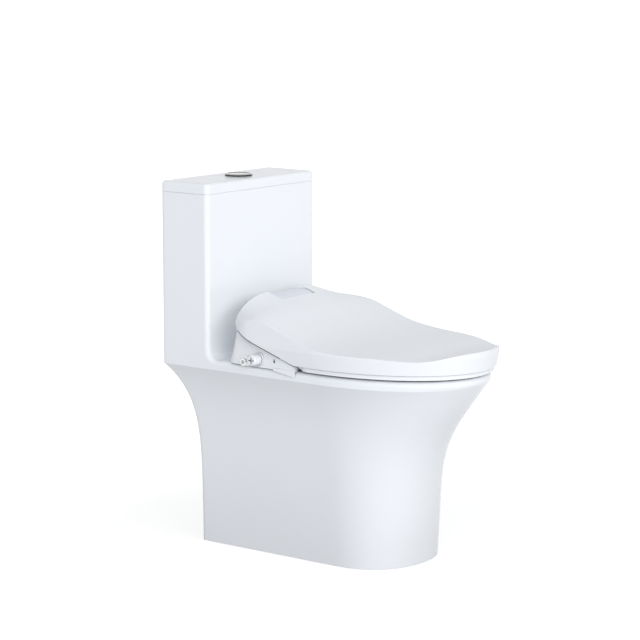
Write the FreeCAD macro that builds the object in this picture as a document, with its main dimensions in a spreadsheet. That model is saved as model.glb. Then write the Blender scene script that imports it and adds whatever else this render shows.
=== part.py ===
import FreeCAD, Part

import math
import os

import Sketcher
from FreeCAD import Rotation, Vector

# Smart toilet with a heated seat, in millimetres.
# Origin: centre of the waste outlet at floor level. +Z is up, -Y is the front, +X is the
# right hand of somebody who looks at the front. Depths are measured forward from the tank's back.

SIZES = (
    # the ceramic casting
    ("back_to_outlet", 290.0, "tank's back to the centre of the waste outlet"),
    ("tank_width", 358.0, "tank and rim width"),
    ("tank_depth", 126.0, "tank front to back"),
    ("tank_top", 736.0, "floor to the tank's upper edge"),
    ("rim_height", 397.0, "floor to the rim and the deck"),
    ("rim_band", 19.0, "height of the upright band from the sweep of the heel up to the rim"),
    ("rim_reach", 681.0, "tank's back to the tip of the rim"),
    ("rim_flare", 11.0, "how far the rim's tip stands forward of the heel's"),
    ("foot_width", 263.0, "width of the skirt on the floor"),
    ("foot_back", 63.6, "how far the skirt stands forward of the tank's back"),
    ("foot_reach", 542.0, "tank's back to the front of the skirt on the floor"),
    ("knee_height", 229.0, "height where the front of the skirt turns outward"),
    ("knee_reach", 560.0, "tank's back to that turn"),
    ("knee_radius", 277.0, "radius of that turn"),
    ("bowl_shoulder", 405.0, "tank's back to where the rounded front begins"),
    ("ceramic_wall", 12.0, "wall of the casting"),
    ("deck_thickness", 22.0, "ceramic under the deck and the tank floor"),
    ("heel_corner", 12.0, "vertical rear corner radius"),
    ("front_edge", 10.0, "rounding of the tank's front corners, deck and rim"),
    ("tank_foot_radius", 20.0, "hollow curve between tank and deck"),
    ("opening_width", 250.0, "width of the bowl's mouth"),
    ("opening_back", 285.0, "tank's back to the rear of the bowl's mouth"),
    ("rim_land", 40.0, "rim between the bowl's mouth and the tip"),
    ("trap_bore", 48.0, "bore of the trapway"),
    ("trap_wall", 10.0, "wall of the trapway and the flush duct"),
    ("trap_bend", 46.0, "bend radius of the trapway"),
    ("trap_weir", 157.0, "middle of the trapway's weir below the rim"),
    ("trap_low", 78.0, "middle of the trapway's lowest run above the floor"),
    ("outlet_bore", 54.0, "bore of the waste outlet"),
    ("outlet_length", 30.0, "depth of that bore"),
    ("duct_bore", 44.0, "bore of the duct from the tank to the bowl"),
    ("service_width", 220.0, "width of the opening in the back of the skirt"),
    ("service_height", 290.0, "height of that opening"),
    # the tank lid and the flush buttons
    ("seam_gap", 0.8, "seam between the tank and its lid"),
    ("lid_plate", 21.2, "thickness of the tank lid"),
    ("lid_edge", 6.0, "rounding of the tank lid's upper edge"),
    ("lid_rib", 9.0, "depth of the locating rib under the tank lid"),
    ("rib_gap", 1.5, "play of the locating rib in the tank"),
    ("bezel_width", 58.0, "diameter of the button's chrome ring"),
    ("bezel_rise", 4.6, "how far the ring stands out of the lid"),
    ("button_width", 46.4, "diameter of the pair of flush buttons"),
    ("button_play", 0.3, "gap round a flush button"),
    ("button_travel", 6.0, "how far a flush button goes down"),
    ("button_split", 4.0, "offset of the line between the buttons"),
    # the fittings in the tank
    ("valve_depth", 63.0, "tank's back to the flush valve"),
    ("fill_depth", 76.0, "tank's back to the fill valve"),
    ("fill_side", 85.0, "fill valve to the left of the middle"),
    ("flush_hole", 62.0, "hole in the tank floor for the flush valve"),
    ("cage_height", 150.0, "height of the flush valve's cage"),
    ("canister_lift", 30.0, "how far the canister rises"),
    ("fill_headroom", 38.0, "top of the fill valve below the tank's upper edge"),
    ("float_height", 85.0, "height of the float"),
    ("float_lift", 28.0, "how far the float rises"),
    ("supply_thread", 20.955, "outer diameter of the supply shank, G 1/2"),
    ("supply_length", 25.0, "free length of the supply shank"),
    # the seat unit
    ("hinge_back", 190.0, "tank's back to the hinge axis"),
    ("hinge_rise", 71.0, "hinge axis above the rim"),
    ("pin_width", 10.0, "diameter of a hinge pin"),
    ("pin_play", 0.08, "radial running play on a hinge pin"),
    ("unit_back", 171.0, "tank's back to the rear of the seat unit"),
    ("unit_front", 352.0, "tank's back to the front of the seat unit"),
    ("unit_overhang", 5.0, "how far the seat unit's sides stand out past the rim"),
    ("unit_lift", 0.3, "gap between the unit and the deck"),
    ("unit_wall", 3.0, "wall of the unit's casing"),
    ("hump_half", 122.0, "half the width of the hump"),
    ("hump_radius", 51.0, "radius of the hump about the hinge axis"),
    ("hump_shoulder", 34.0, "radius of the hump at its ends"),
    ("panel_half", 55.3, "half the width of the centre panel"),
    ("panel_skin", 4.2, "thickness of the centre panel"),
    ("bolt_spacing", 140.0, "distance between the seat bolts"),
    ("bolt_back", 205.0, "tank's back to the seat bolts"),
    ("bolt_hole", 15.0, "hole in the deck for a seat bolt"),
    ("knob_back", 258.0, "tank's back to the drain knob"),
    ("knob_rise", 16.5, "drain knob above the rim"),
    ("knob_width", 22.0, "diameter of the drain knob"),
    ("inlet_back", 231.0, "tank's back to the water inlet"),
    ("inlet_rise", 9.6, "water inlet above the rim"),
    ("inlet_thread", 16.66, "outer diameter of the inlet's thread, G 3/8"),
    ("wand_width", 14.0, "diameter of a washing wand"),
    ("wand_travel", 85.0, "how far a wand comes out"),
    ("wand_spacing", 26.0, "distance between the wands"),
    ("wand_play", 0.3, "gap round a wand in its guide"),
    ("wand_slope", 22.0, "slope of the wands in degrees"),
    # the seat and the lid
    ("seat_setback", 2.0, "tip of the seat behind the tip of the rim"),
    ("seat_overhang", 4.5, "how far the seat's sides stand out past the rim"),
    ("seat_rise", 4.0, "underside of the seat above the rim"),
    ("seat_thickness", 29.0, "thickness of the seat ring"),
    ("seat_wall", 3.0, "wall of the seat's shell"),
    ("apron_inset", 11.5, "sides of the seat's rear part inside the sides of the unit"),
    ("hole_half", 106.0, "half the width of the hole in the seat"),
    ("hole_back", 372.0, "tank's back to the rear of that hole"),
    ("ring_front", 57.0, "width of the seat ring at its tip"),
    ("lid_overhang", 8.5, "tip of the lid forward of the tip of the rim"),
    ("lid_side", 15.0, "how far the lid's sides stand out past the rim"),
    ("lid_taper", 9.5, "how much narrower each side of the lid is at the rear"),
    ("lid_wall", 3.4, "wall of the lid"),
    ("lid_lean", 5.0, "how far the lid's skirt leans in towards its lower edge"),
    ("notch_half", 56.5, "half the width of the notch in the lid"),
    ("notch_front", 223.0, "tank's back to the front of the notch"),
    ("lid_back", 185.0, "tank's back to the rear edge of the lid"),
    ("moving_gap", 2.0, "gap between the moving covers and the casing"),
    ("parting_gap", 4.0, "gap between the lid's lower edge and the casing's side walls"),
    ("rest_gap", 0.3, "gap left under the rubber bumpers"),
)

document = FreeCAD.newDocument("SmartToilet")
sheet = document.addObject("Spreadsheet::Sheet", "Sizes")
for row, (alias, value, meaning) in enumerate(SIZES, start=1):
    sheet.set(f"A{row}", alias)
    sheet.set(f"B{row}", str(value))
    sheet.set(f"C{row}", meaning)
    sheet.setAlias(f"B{row}", alias)
document.recompute()

NODES = []


# ------------------------------------------------------------------ sizes and formulas

class Size:
    """A length that carries its number and the formula of sheet cells behind it."""

    def __init__(self, value, formula):
        self.value = float(value)
        self.formula = formula

    @staticmethod
    def of(other):
        if isinstance(other, Size):
            return other
        return Size(other, f"({float(other)})")

    def _join(self, other, sign, value):
        return Size(value, f"({self.formula} {sign} {Size.of(other).formula})")

    def __add__(self, other):
        return self._join(other, "+", self.value + float(other))

    def __radd__(self, other):
        return Size.of(other) + self

    def __sub__(self, other):
        return self._join(other, "-", self.value - float(other))

    def __rsub__(self, other):
        return Size.of(other) - self

    def __mul__(self, other):
        return self._join(other, "*", self.value * float(other))

    def __rmul__(self, other):
        return Size.of(other) * self

    def __truediv__(self, other):
        return self._join(other, "/", self.value / float(other))

    def __neg__(self):
        return Size.of(0.0) - self

    def __float__(self):
        return self.value


def size(name):
    """The sheet's cell of that name, as a number with its formula."""
    return Size(sheet.get(name), f"Sizes.{name}")


def mm(name):
    """The sheet's cell of that name, as a plain number."""
    return float(sheet.get(name))


def bind(thing, field, length):
    """Tie one property of a document object to a formula."""
    thing.setExpression(field, Size.of(length).formula)


def depth(forward):
    """The Y of a plane that lies this far forward of the tank's back."""
    return size("back_to_outlet") - forward


def depth_mm(forward):
    return mm("back_to_outlet") - forward


def over_rim(rise):
    return size("rim_height") + rise


RIM = mm("rim_height")
HEEL = RIM - mm("rim_band")
RIM_REACH = mm("rim_reach")
RIM_HALF = mm("tank_width") / 2.0
HEEL_REACH = RIM_REACH - mm("rim_flare")
MOUTH_FRONT = RIM_REACH - mm("rim_land")
SEAT_REACH = RIM_REACH - mm("seat_setback")
SEAT_HALF = RIM_HALF + mm("seat_overhang")
HOLE_FRONT = SEAT_REACH - mm("ring_front")
LID_REACH = RIM_REACH + mm("lid_overhang")
LID_HALF = RIM_HALF + mm("lid_side")
LID_HALF_BACK = LID_HALF - mm("lid_taper")
UNIT_HALF = RIM_HALF + mm("unit_overhang")
APRON_HALF = UNIT_HALF - mm("apron_inset")
HINGE_Y = depth_mm(mm("hinge_back"))
HINGE_Z = RIM + mm("hinge_rise")
FAR = 1000.0                # reach of a cutting block past everything else


# ------------------------------------------------------------------ document objects

def keep(thing, label):
    """Give a finished sub-part its name and list it for export."""
    thing.Label = label
    NODES.append(thing)
    return thing


def place(thing, x=0.0, y=0.0, z=0.0, turn=None):
    if turn is not None:
        thing.Placement.Rotation = turn
    bind(thing, "Placement.Base.x", x)
    bind(thing, "Placement.Base.y", y)
    bind(thing, "Placement.Base.z", z)
    return thing


def box(x_size, y_size, z_size, x, y, z):
    """A block from its lowest corner."""
    block = document.addObject("Part::Box", "Block")
    bind(block, "Length", x_size)
    bind(block, "Width", y_size)
    bind(block, "Height", z_size)
    return place(block, x, y, z)


def cylinder(radius, height, x, y, z, turn=None):
    rod = document.addObject("Part::Cylinder", "Rod")
    bind(rod, "Radius", radius)
    bind(rod, "Height", height)
    return place(rod, x, y, z, turn)


def cut(base, tool):
    result = document.addObject("Part::Cut", "Cut")
    result.Base = base
    result.Tool = tool
    return result


def fuse(*pieces):
    result = document.addObject("Part::MultiFuse", "Fuse")
    result.Shapes = list(pieces)
    return result


def group(*pieces):
    """Identical pieces that share one node as separate solids."""
    result = document.addObject("Part::Compound", "Group")
    result.Links = list(pieces)
    return result


def solid_feature(label, shape):
    """A freely shaped sub-part, made from the sheet's values in this file."""
    feature = document.addObject("Part::Feature", "Form")
    feature.Shape = shape
    return keep(feature, label)


def origin_plane(body, role):
    for feature in body.Origin.OriginFeatures:
        if feature.Role == role:
            return feature
    raise RuntimeError(f"no plane {role}")


def draw_loop(sketch, points):
    """Add a closed outline whose corners follow their formulas."""
    first = sketch.GeometryCount
    corners = [Vector(float(x), float(y), 0.0) for x, y in points]
    total = len(corners)
    for index in range(total):
        sketch.addGeometry(Part.LineSegment(corners[index], corners[(index + 1) % total]), False)
    for index, (x, y) in enumerate(points):
        line = first + index
        following = first + (index + 1) % total
        sketch.addConstraint(Sketcher.Constraint("Coincident", line, 2, following, 1))
        for kind, length in (("DistanceX", x), ("DistanceY", y)):
            number = sketch.addConstraint(Sketcher.Constraint(kind, -1, 1, line, 1, float(length)))
            if isinstance(length, Size):
                sketch.setExpression(f"Constraints[{number}]", length.formula)


def sketch_on(body, role, *loops):
    sketch = body.newObject("Sketcher::SketchObject", "Outline")
    sketch.AttachmentSupport = [(origin_plane(body, role), "")]
    sketch.MapMode = "FlatFace"
    for points in loops:
        draw_loop(sketch, points)
    return sketch


def turned(profile, x=0.0, y=0.0, z=0.0, turn=None):
    """A piece turned on the lathe: the profile is (radius, height) round the Z axis."""
    body = document.addObject("PartDesign::Body", "Turned")
    sketch = sketch_on(body, "XZ_Plane", profile)
    revolution = body.newObject("PartDesign::Revolution", "Revolution")
    revolution.Profile = sketch
    revolution.ReferenceAxis = (sketch, ["V_Axis"])
    revolution.Angle = 360.0
    return place(body, x, y, z, turn)


def ring_profile(inner, outer, low, high):
    return [(inner, low), (outer, low), (outer, high), (inner, high)]


TO_LEFT = Rotation(Vector(0, 1, 0), -90.0)
TO_RIGHT = Rotation(Vector(0, 1, 0), 90.0)


# ------------------------------------------------------------------ free forms

def block(x_low, x_high, y_low, y_high, z_low, z_high):
    """A plain block between two corners."""
    return Part.makeBox(x_high - x_low, y_high - y_low, z_high - z_low, Vector(x_low, y_low, z_low))


def mirrored_x(shape):
    return shape.mirror(Vector(0, 0, 0), Vector(1, 0, 0))


def side_prism(points, x_low, x_high):
    """A prism along X whose outline is given as (depth from the tank's back, height)."""
    corners = [Vector(x_low, depth_mm(forward), height) for forward, height in points]
    outline = Part.makePolygon(corners + corners[:1])
    return Part.Face(outline).extrude(Vector(x_high - x_low, 0, 0))


def front_curve(height, half, shoulder, reach, power):
    """The rounded front of a plan: half of a superellipse between the two shoulders."""
    steps = 16
    points = []
    for index in range(steps + 1):
        angle = math.pi * index / steps
        across = math.cos(angle)
        along = math.sin(angle)
        x = half * math.copysign(abs(across) ** (2.0 / power), across)
        run = (reach - shoulder) * abs(along) ** (2.0 / power)
        points.append(Vector(x, depth_mm(shoulder + run), height))
    points[0] = Vector(half, depth_mm(shoulder), height)
    points[-1] = Vector(-half, depth_mm(shoulder), height)
    curve = Part.BSplineCurve()
    curve.interpolate(Points=points)
    return curve.toShape()


def quarter_turn(centre, radius, start):
    """A quarter circle in a level plane, counted in degrees from +X."""
    middle = math.radians(start + 45.0)
    first = math.radians(start)
    last = math.radians(start + 90.0)
    spots = [centre + Vector(radius * math.cos(a), radius * math.sin(a), 0) for a in (first, middle, last)]
    return Part.Arc(*spots).toShape()


def plan_wire(height, half, half_back, back, corner, shoulder, reach, power):
    """A closed plan: straight back, rounded rear corners, sides and a superelliptic front."""
    rear = depth_mm(back)
    front = depth_mm(shoulder)
    right_rear = Vector(half_back, rear - corner, height)
    left_rear = Vector(-half_back, rear - corner, height)
    edges = [
        Part.makeLine(Vector(half, front, height), right_rear),
        quarter_turn(Vector(half_back - corner, rear - corner, height), corner, 0.0),
        Part.makeLine(Vector(half_back - corner, rear, height), Vector(corner - half_back, rear, height)),
        quarter_turn(Vector(corner - half_back, rear - corner, height), corner, 90.0),
        Part.makeLine(left_rear, Vector(-half, front, height)),
        front_curve(height, half, shoulder, reach, power),
    ]
    return Part.Wire(Part.__sortEdges__(edges))


def smooth_path(points, radius):
    """Straight runs in the middle plane joined by tangent arcs; points are (depth, height)."""
    spots = [Vector(0, depth_mm(forward), height) for forward, height in points]
    edges = []
    start = spots[0]
    for before, corner, after in zip(spots, spots[1:], spots[2:]):
        incoming = (corner - before).normalize()
        outgoing = (after - corner).normalize()
        turn = incoming.getAngle(outgoing)
        trim = radius * math.tan(turn / 2.0)
        enter = corner - incoming * trim
        leave = corner + outgoing * trim
        bisector = (outgoing - incoming).normalize()
        middle = corner + bisector * (radius / math.cos(turn / 2.0) - radius)
        edges.append(Part.makeLine(start, enter))
        edges.append(Part.Arc(enter, middle, leave).toShape())
        start = leave
    edges.append(Part.makeLine(start, spots[-1]))
    return Part.Wire(edges)


def tube_solid(points, bend, radius):
    """A round bar swept along a smooth path in the middle plane."""
    path = smooth_path(points, bend)
    start = Vector(0, depth_mm(points[0][0]), points[0][1])
    ahead = Vector(0, depth_mm(points[1][0]), points[1][1]) - start
    profile = Part.Wire(Part.makeCircle(radius, start, ahead.normalize()))
    return path.makePipeShell([profile], True, False)


# ------------------------------------------------------------------ the ceramic casting

HEEL_LEVELS = (0.0, 0.2, 0.4, 0.55, 0.68, 0.78, 0.86, 0.93, 1.0)
HEEL_SOFT_SHARE = 0.14      # share of the heel's flare that grows with the square of the height
FOOT_SHOULDER_EXTRA = 12.0  # the rounded front begins this much further forward on the floor
FOOT_POWER = 2.24
RIM_POWER = 2.08


def heel_flare(level):
    """How far the heel has swept out between floor (0) and tank (1)."""
    return HEEL_SOFT_SHARE * level ** 2 + (1.0 - HEEL_SOFT_SHARE) * level ** 6


def skirt_reach(height):
    """The skirt's front line seen from the side: a straight foot, an arc and a straight flare."""
    knee_z = mm("knee_height")
    knee = mm("knee_reach")
    low_angle = math.atan((knee - mm("foot_reach")) / knee_z)
    high_angle = math.atan((HEEL_REACH - knee) / (HEEL - knee_z))
    radius = mm("knee_radius")
    trim = radius * math.tan((high_angle - low_angle) / 2.0)
    arc_start = knee_z - trim * math.cos(low_angle)
    arc_end = knee_z + trim * math.cos(high_angle)
    if height <= arc_start:
        return mm("foot_reach") + height * math.tan(low_angle)
    if height >= arc_end:
        return knee + (height - knee_z) * math.tan(high_angle)
    centre_reach = knee - trim * math.sin(low_angle) + radius * math.cos(low_angle)
    centre_z = arc_start - radius * math.sin(low_angle)
    return centre_reach - math.sqrt(radius ** 2 - (height - centre_z) ** 2)


def skirt_solid(inset):
    """The skirt below the tank, or the hollow inside it when an inset is given."""
    wires = []
    for level in HEEL_LEVELS:
        height = level * HEEL
        flare = heel_flare(level)
        half = (mm("foot_width") + (mm("tank_width") - mm("foot_width")) * flare) / 2.0 - inset
        wires.append(plan_wire(
            height, half, half,
            mm("foot_back") * (1.0 - flare) + inset,
            max(mm("heel_corner") - inset, 3.0),
            mm("bowl_shoulder") + FOOT_SHOULDER_EXTRA * (1.0 - level),
            skirt_reach(height) - inset,
            FOOT_POWER + (RIM_POWER - FOOT_POWER) * level))
    return Part.makeLoft(wires, True, False)


def upper_solid():
    """Rim, deck and tank as one solid with rounded edges."""
    half = RIM_HALF
    heel = HEEL
    top = mm("tank_top")
    front = mm("tank_depth")
    fillet = mm("tank_foot_radius")
    growth = mm("rim_flare") / mm("rim_band")
    wires = []
    for height in (heel, top):
        reach = HEEL_REACH + growth * (height - heel)
        wires.append(plan_wire(height, half, half, 0.0, mm("heel_corner"), mm("bowl_shoulder"),
                               reach, RIM_POWER))
    plan = Part.makeLoft(wires, True, True)
    far = RIM_REACH + 4.0 * fillet
    side = half + fillet
    hollow = fillet * (1.0 - math.sqrt(0.5))

    def spot(forward, height):
        return Vector(-side, depth_mm(forward), height)

    edges = [
        Part.makeLine(spot(-fillet, heel), spot(-fillet, top)),
        Part.makeLine(spot(-fillet, top), spot(front, top)),
        Part.makeLine(spot(front, top), spot(front, RIM + fillet)),
        Part.Arc(spot(front, RIM + fillet), spot(front + hollow, RIM + hollow),
                 spot(front + fillet, RIM)).toShape(),
        Part.makeLine(spot(front + fillet, RIM), spot(far, RIM)),
        Part.makeLine(spot(far, RIM), spot(far, heel)),
        Part.makeLine(spot(far, heel), spot(-fillet, heel)),
    ]
    profile = Part.Face(Part.Wire(edges)).extrude(Vector(2.0 * side, 0, 0))
    solid = plan.common(profile)
    rounded = [edge for edge in solid.Edges if is_front_edge(edge, top)]
    return solid.makeFillet(mm("front_edge"), rounded)


def is_front_edge(edge, top):
    """True for the chain of edges from the tank's front corners along the deck round the rim."""
    middle = edge.valueAt((edge.FirstParameter + edge.LastParameter) / 2.0)
    if abs(middle.z - top) < 0.01 or middle.z < RIM - 0.01:
        return False
    ahead = depth_mm(mm("tank_depth")) + 0.01
    on_side = abs(abs(middle.x) - RIM_HALF) < 0.01
    on_front = middle.y < depth_mm(mm("bowl_shoulder"))
    return middle.y < ahead and (on_side or on_front)


TANK_CORNER = 3.5           # upright corners inside the tank
MOUTH_DEPTH = 40.0          # the straight mouth of the bowl reaches this far below the rim
FILL_PLAY = 7.0             # the fill valve's hole is this much wider than its shank


# drop below the rim, then how much wider, further back and less far forward than the mouth
BOWL_STEPS = (
    (25.0, 11.0, 9.0, -9.0),
    (57.0, 6.0, 5.0, 13.0),
    (97.0, -8.0, -5.0, 49.0),
    (147.0, -33.0, -18.0, 101.0),
    (197.0, -57.0, -31.0, 161.0),
    (247.0, -79.0, -43.0, 213.0),
    (296.0, -99.0, -51.0, 243.0),
)


def bowl_solid(grow):
    """The inside of the bowl under its rim, or its outside when grown by the wall."""
    wires = []
    for index, (drop, wider, back_more, front_less) in enumerate(BOWL_STEPS):
        back = mm("opening_back") - back_more - grow
        front = MOUTH_FRONT - front_less + grow
        half = mm("opening_width") / 2.0 + wider + grow
        height = RIM - drop
        if index == 0 and grow > 0.0:
            height = RIM - mm("deck_thickness") + 1.0
        if index == len(BOWL_STEPS) - 1:
            height -= grow
        wires.append(ellipse_wire(height, half, back, front))
    return Part.makeLoft(wires, True, False)


def ellipse_wire(height, half, back, front):
    """A level ellipse between two depths."""
    centre = Vector(0, depth_mm((back + front) / 2.0), height)
    along = (front - back) / 2.0
    if along >= half:
        curve = Part.Ellipse(centre + Vector(0, along, 0), centre + Vector(half, 0, 0), centre)
    else:
        curve = Part.Ellipse(centre + Vector(half, 0, 0), centre + Vector(0, along, 0), centre)
    return Part.Wire(curve.toShape())


def trap_points():
    """The trapway's route from the sump over the weir to the outlet: (depth, height)."""
    outlet = mm("back_to_outlet")
    low = mm("trap_bore") / 2.0 + RIM - BOWL_STEPS[-1][0]
    weir = RIM - mm("trap_weir")
    last = mm("trap_low")
    fall = outlet - 125.0
    return ((outlet + 95.0, low), (outlet + 65.0, low), (outlet - 25.0, weir),
            (fall, weir), (fall, last), (outlet, last), (outlet, 0.0))


def duct_points():
    """The flush duct's route from the tank floor to the bowl."""
    level = RIM - mm("deck_thickness") - mm("duct_bore") / 2.0 - mm("trap_wall") - 5.0
    return ((mm("valve_depth") + 3.0, tank_floor()), (mm("valve_depth") + 3.0, level),
            (mm("opening_back") + 15.0, level))


def tank_floor():
    return RIM + 1.0


def upright(diameter, x, y, z_low, z_high):
    return Part.makeCylinder(diameter / 2.0, z_high - z_low, Vector(x, y, z_low))


def ceramic_body():
    """Bowl, skirt, deck and tank, hollow under the floor like the real casting."""
    outer = skirt_solid(0.0).fuse(upper_solid()).removeSplitter()
    wall = mm("ceramic_wall")
    ceiling = RIM - mm("deck_thickness")
    below = block(-FAR, FAR, depth_mm(FAR), depth_mm(-FAR), -1.0, ceiling)
    hollow = skirt_solid(wall).common(below)

    bend = mm("trap_bend")
    bore = mm("trap_bore") / 2.0
    trap_wall = mm("trap_wall")
    duct_bore = mm("duct_bore") / 2.0
    inner_parts = bowl_solid(trap_wall)
    inner_parts = inner_parts.fuse(tube_solid(trap_points(), bend, bore + trap_wall))
    inner_parts = inner_parts.fuse(tube_solid(duct_points(), bend, duct_bore + trap_wall))
    inner_parts = inner_parts.fuse(upright(2.0 * (bore + trap_wall), 0, 0, 0.0, mm("outlet_length")))
    body = outer.cut(hollow.cut(inner_parts))

    body = body.cut(bowl_solid(0.0))
    mouth_half = mm("opening_width") / 2.0
    mouth = Part.Face(ellipse_wire(RIM - MOUTH_DEPTH, mouth_half, mm("opening_back"), MOUTH_FRONT))
    body = body.cut(mouth.extrude(Vector(0, 0, MOUTH_DEPTH + 20.0)))
    body = body.cut(tube_solid(trap_points(), bend, bore))
    body = body.cut(tube_solid(duct_points(), bend, duct_bore))
    body = body.cut(upright(mm("outlet_bore"), 0, 0, -1.0, mm("outlet_length")))

    half = RIM_HALF - wall
    front = depth_mm(mm("tank_depth") - wall)
    rear = depth_mm(wall)
    floor = tank_floor()
    tank = block(-half, half, front, rear, floor, mm("tank_top") + 1.0)
    tank = tank.makeFillet(TANK_CORNER, [e for e in tank.Edges if abs(e.tangentAt(e.FirstParameter).z) > 0.9])
    body = body.cut(tank)
    valve_y = depth_mm(mm("valve_depth"))
    body = body.cut(upright(mm("flush_hole"), 0, valve_y, floor - 15.0, floor + 1.0))
    fill_hole = mm("supply_thread") + FILL_PLAY
    fill_y = depth_mm(mm("fill_depth"))
    body = body.cut(upright(fill_hole, -mm("fill_side"), fill_y, ceiling - 1.0, floor + 1.0))
    for side in (-0.5, 0.5):
        x = side * mm("bolt_spacing")
        body = body.cut(upright(mm("bolt_hole"), x, depth_mm(mm("bolt_back")), ceiling - 1.0, RIM + 1.0))
    service = mm("service_width") / 2.0
    body = body.cut(block(-service, service, depth_mm(mm("foot_back") + 3.0 * wall),
                          depth_mm(0.0), -1.0, mm("service_height")))
    return solid_feature("ceramic_body", body)


# ------------------------------------------------------------------ tank lid and flush buttons

LID_UNDERSIDE = size("tank_top") + size("seam_gap")
LID_TOP = LID_UNDERSIDE + size("lid_plate")
VALVE_Y = depth(size("valve_depth"))
CUP_DEPTH = size("button_travel") + 6.0     # the cup in which the buttons sit, below the lid's top
CUP_FLOOR = 2.0
SLEEVE_LENGTH = 36.0
BUTTON_RISE = 4.0
BUTTON_THICKNESS = 7.5
ROD_WIDTH = 6.0
ROD_GAP = 9.5               # between a rod at rest and the flush valve's cage


def edge_names(feature, test):
    """Names of a feature's edges that pass a test on their middle point and direction."""
    names = []
    for number, edge in enumerate(feature.Shape.Edges, start=1):
        middle = edge.valueAt((edge.FirstParameter + edge.LastParameter) / 2.0)
        direction = edge.tangentAt(edge.FirstParameter)
        if test(middle, direction):
            names.append(f"Edge{number}")
    return names


def rounded_edges(body, base, radius, test):
    document.recompute()
    fillet = body.newObject("PartDesign::Fillet", "Fillet")
    fillet.Base = (base, edge_names(base, test))
    bind(fillet, "Radius", radius)
    return fillet


def padded(body, sketch, length, reverse=False):
    pad = body.newObject("PartDesign::Pad", "Pad")
    pad.Profile = sketch
    bind(pad, "Length", length)
    pad.Reversed = reverse
    return pad


def rectangle(x_low, x_high, y_low, y_high):
    return [(x_low, y_low), (x_high, y_low), (x_high, y_high), (x_low, y_high)]


def tank_lid():
    """A flat ceramic lid, flush with the tank, with a locating rib and the button's hole."""
    half = size("tank_width") / 2.0
    deep = size("tank_depth")
    body = document.addObject("PartDesign::Body", "TankLid")
    plate = padded(body, sketch_on(body, "XY_Plane", rectangle(-half, half, 0.0, deep)), size("lid_plate"))
    rear = rounded_edges(body, plate, size("heel_corner"),
                         lambda spot, along: abs(along.z) > 0.9 and spot.y > mm("tank_depth") / 2.0)
    front = rounded_edges(body, rear, size("front_edge"),
                          lambda spot, along: abs(along.z) > 0.9 and spot.y < 1.0 and abs(spot.x) > 20.0)
    top = rounded_edges(body, front, size("lid_edge"),
                        lambda spot, along: spot.z > mm("lid_plate") - 0.01 and abs(along.z) < 0.1)
    inset = size("ceramic_wall") + size("rib_gap")
    inner = inset + 5.0
    ribs = sketch_on(body, "XY_Plane",
                     rectangle(inset - half, half - inset, inset, deep - inset),
                     rectangle(inner - half, half - inner, inner, deep - inner))
    padded(body, ribs, size("lid_rib"), reverse=True)
    place(body, 0.0, depth(deep), LID_UNDERSIDE)
    hole = cylinder(size("button_width") / 2.0 + 2.5, size("lid_plate") + 2.0, 0.0, VALVE_Y,
                    LID_UNDERSIDE - 1.0)
    keep(cut(body, hole), "tank_lid")
    pad_x = half - size("ceramic_wall") / 2.0
    pads = [cylinder(4.0, size("seam_gap"), side * pad_x, depth(forward), size("tank_top"))
            for side in (-1.0, 1.0) for forward in (size("tank_depth") * 0.3, size("tank_depth") * 0.7)]
    keep(group(*pads), "tank_lid_pads")


def flush_buttons():
    """The chrome ring through the lid, its nut, and two buttons with their rods."""
    cup = size("button_width") / 2.0 + size("button_play")
    sleeve = cup + 1.6
    ring = size("bezel_width") / 2.0
    rise = size("bezel_rise")
    profile = [
        (cup, -CUP_DEPTH), (cup, rise), (ring - 2.0, rise), (ring, rise - 1.8), (ring, 0.0),
        (sleeve, 0.0), (sleeve, -SLEEVE_LENGTH), (sleeve - 2.2, -SLEEVE_LENGTH),
        (sleeve - 2.2, -CUP_DEPTH - CUP_FLOOR), (cup - 5.5, -CUP_DEPTH - CUP_FLOOR), (cup - 5.5, -CUP_DEPTH),
    ]
    keep(turned(profile, 0.0, VALVE_Y, LID_TOP), "flush_bezel")
    nut = turned(ring_profile(sleeve + 0.1, ring + 2.0, 0.0, 7.0), 0.0, VALVE_Y, LID_UNDERSIDE - 7.0)
    keep(nut, "bezel_nut")
    radius = size("button_width") / 2.0
    split = size("button_split")
    low = LID_TOP + (BUTTON_RISE - BUTTON_THICKNESS)
    sides = (("full_flush", -radius - 1.0, radius + split + 0.75), ("half_flush", split + 0.25, radius + 1.0))
    for name, start, width in sides:
        disc = cylinder(radius, BUTTON_THICKNESS, 0.0, VALVE_Y, low)
        half = document.addObject("Part::Common", "Half")
        half.Base = disc
        half.Tool = box(width, radius * 2.0 + 2.0, BUTTON_THICKNESS + 2.0,
                        start, VALVE_Y - radius - 1.0, low - 1.0)
        keep(half, f"{name}_button")
    rods = (("full_flush_rod", split - 14.0), ("half_flush_rod", split + 9.5))
    foot = FLOOR_Z + GASKET + size("cage_height") + CAGE_LID + ROD_GAP
    for name, x in rods:
        keep(cylinder(ROD_WIDTH / 2.0, low - foot, x, VALVE_Y, foot), name)


# ------------------------------------------------------------------ fittings in the tank

FLOOR_Z = size("rim_height") + 1.0
GASKET = 3.0
FLANGE = 6.0
FLOAT_RADIUS = 30.0
FILL_HEAD = 40.0            # height of the fill valve's head
CAGE_RADIUS = 36.0
CAGE_RING = 12.0            # height of the ring at the top of the cage
CAGE_LID = 6.0              # thickness of the plate on that ring
CANISTER_RADIUS = 26.0
SEAL_ROOM = 3.2             # the canister stands this far above the valve's flange, on its seal


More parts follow.
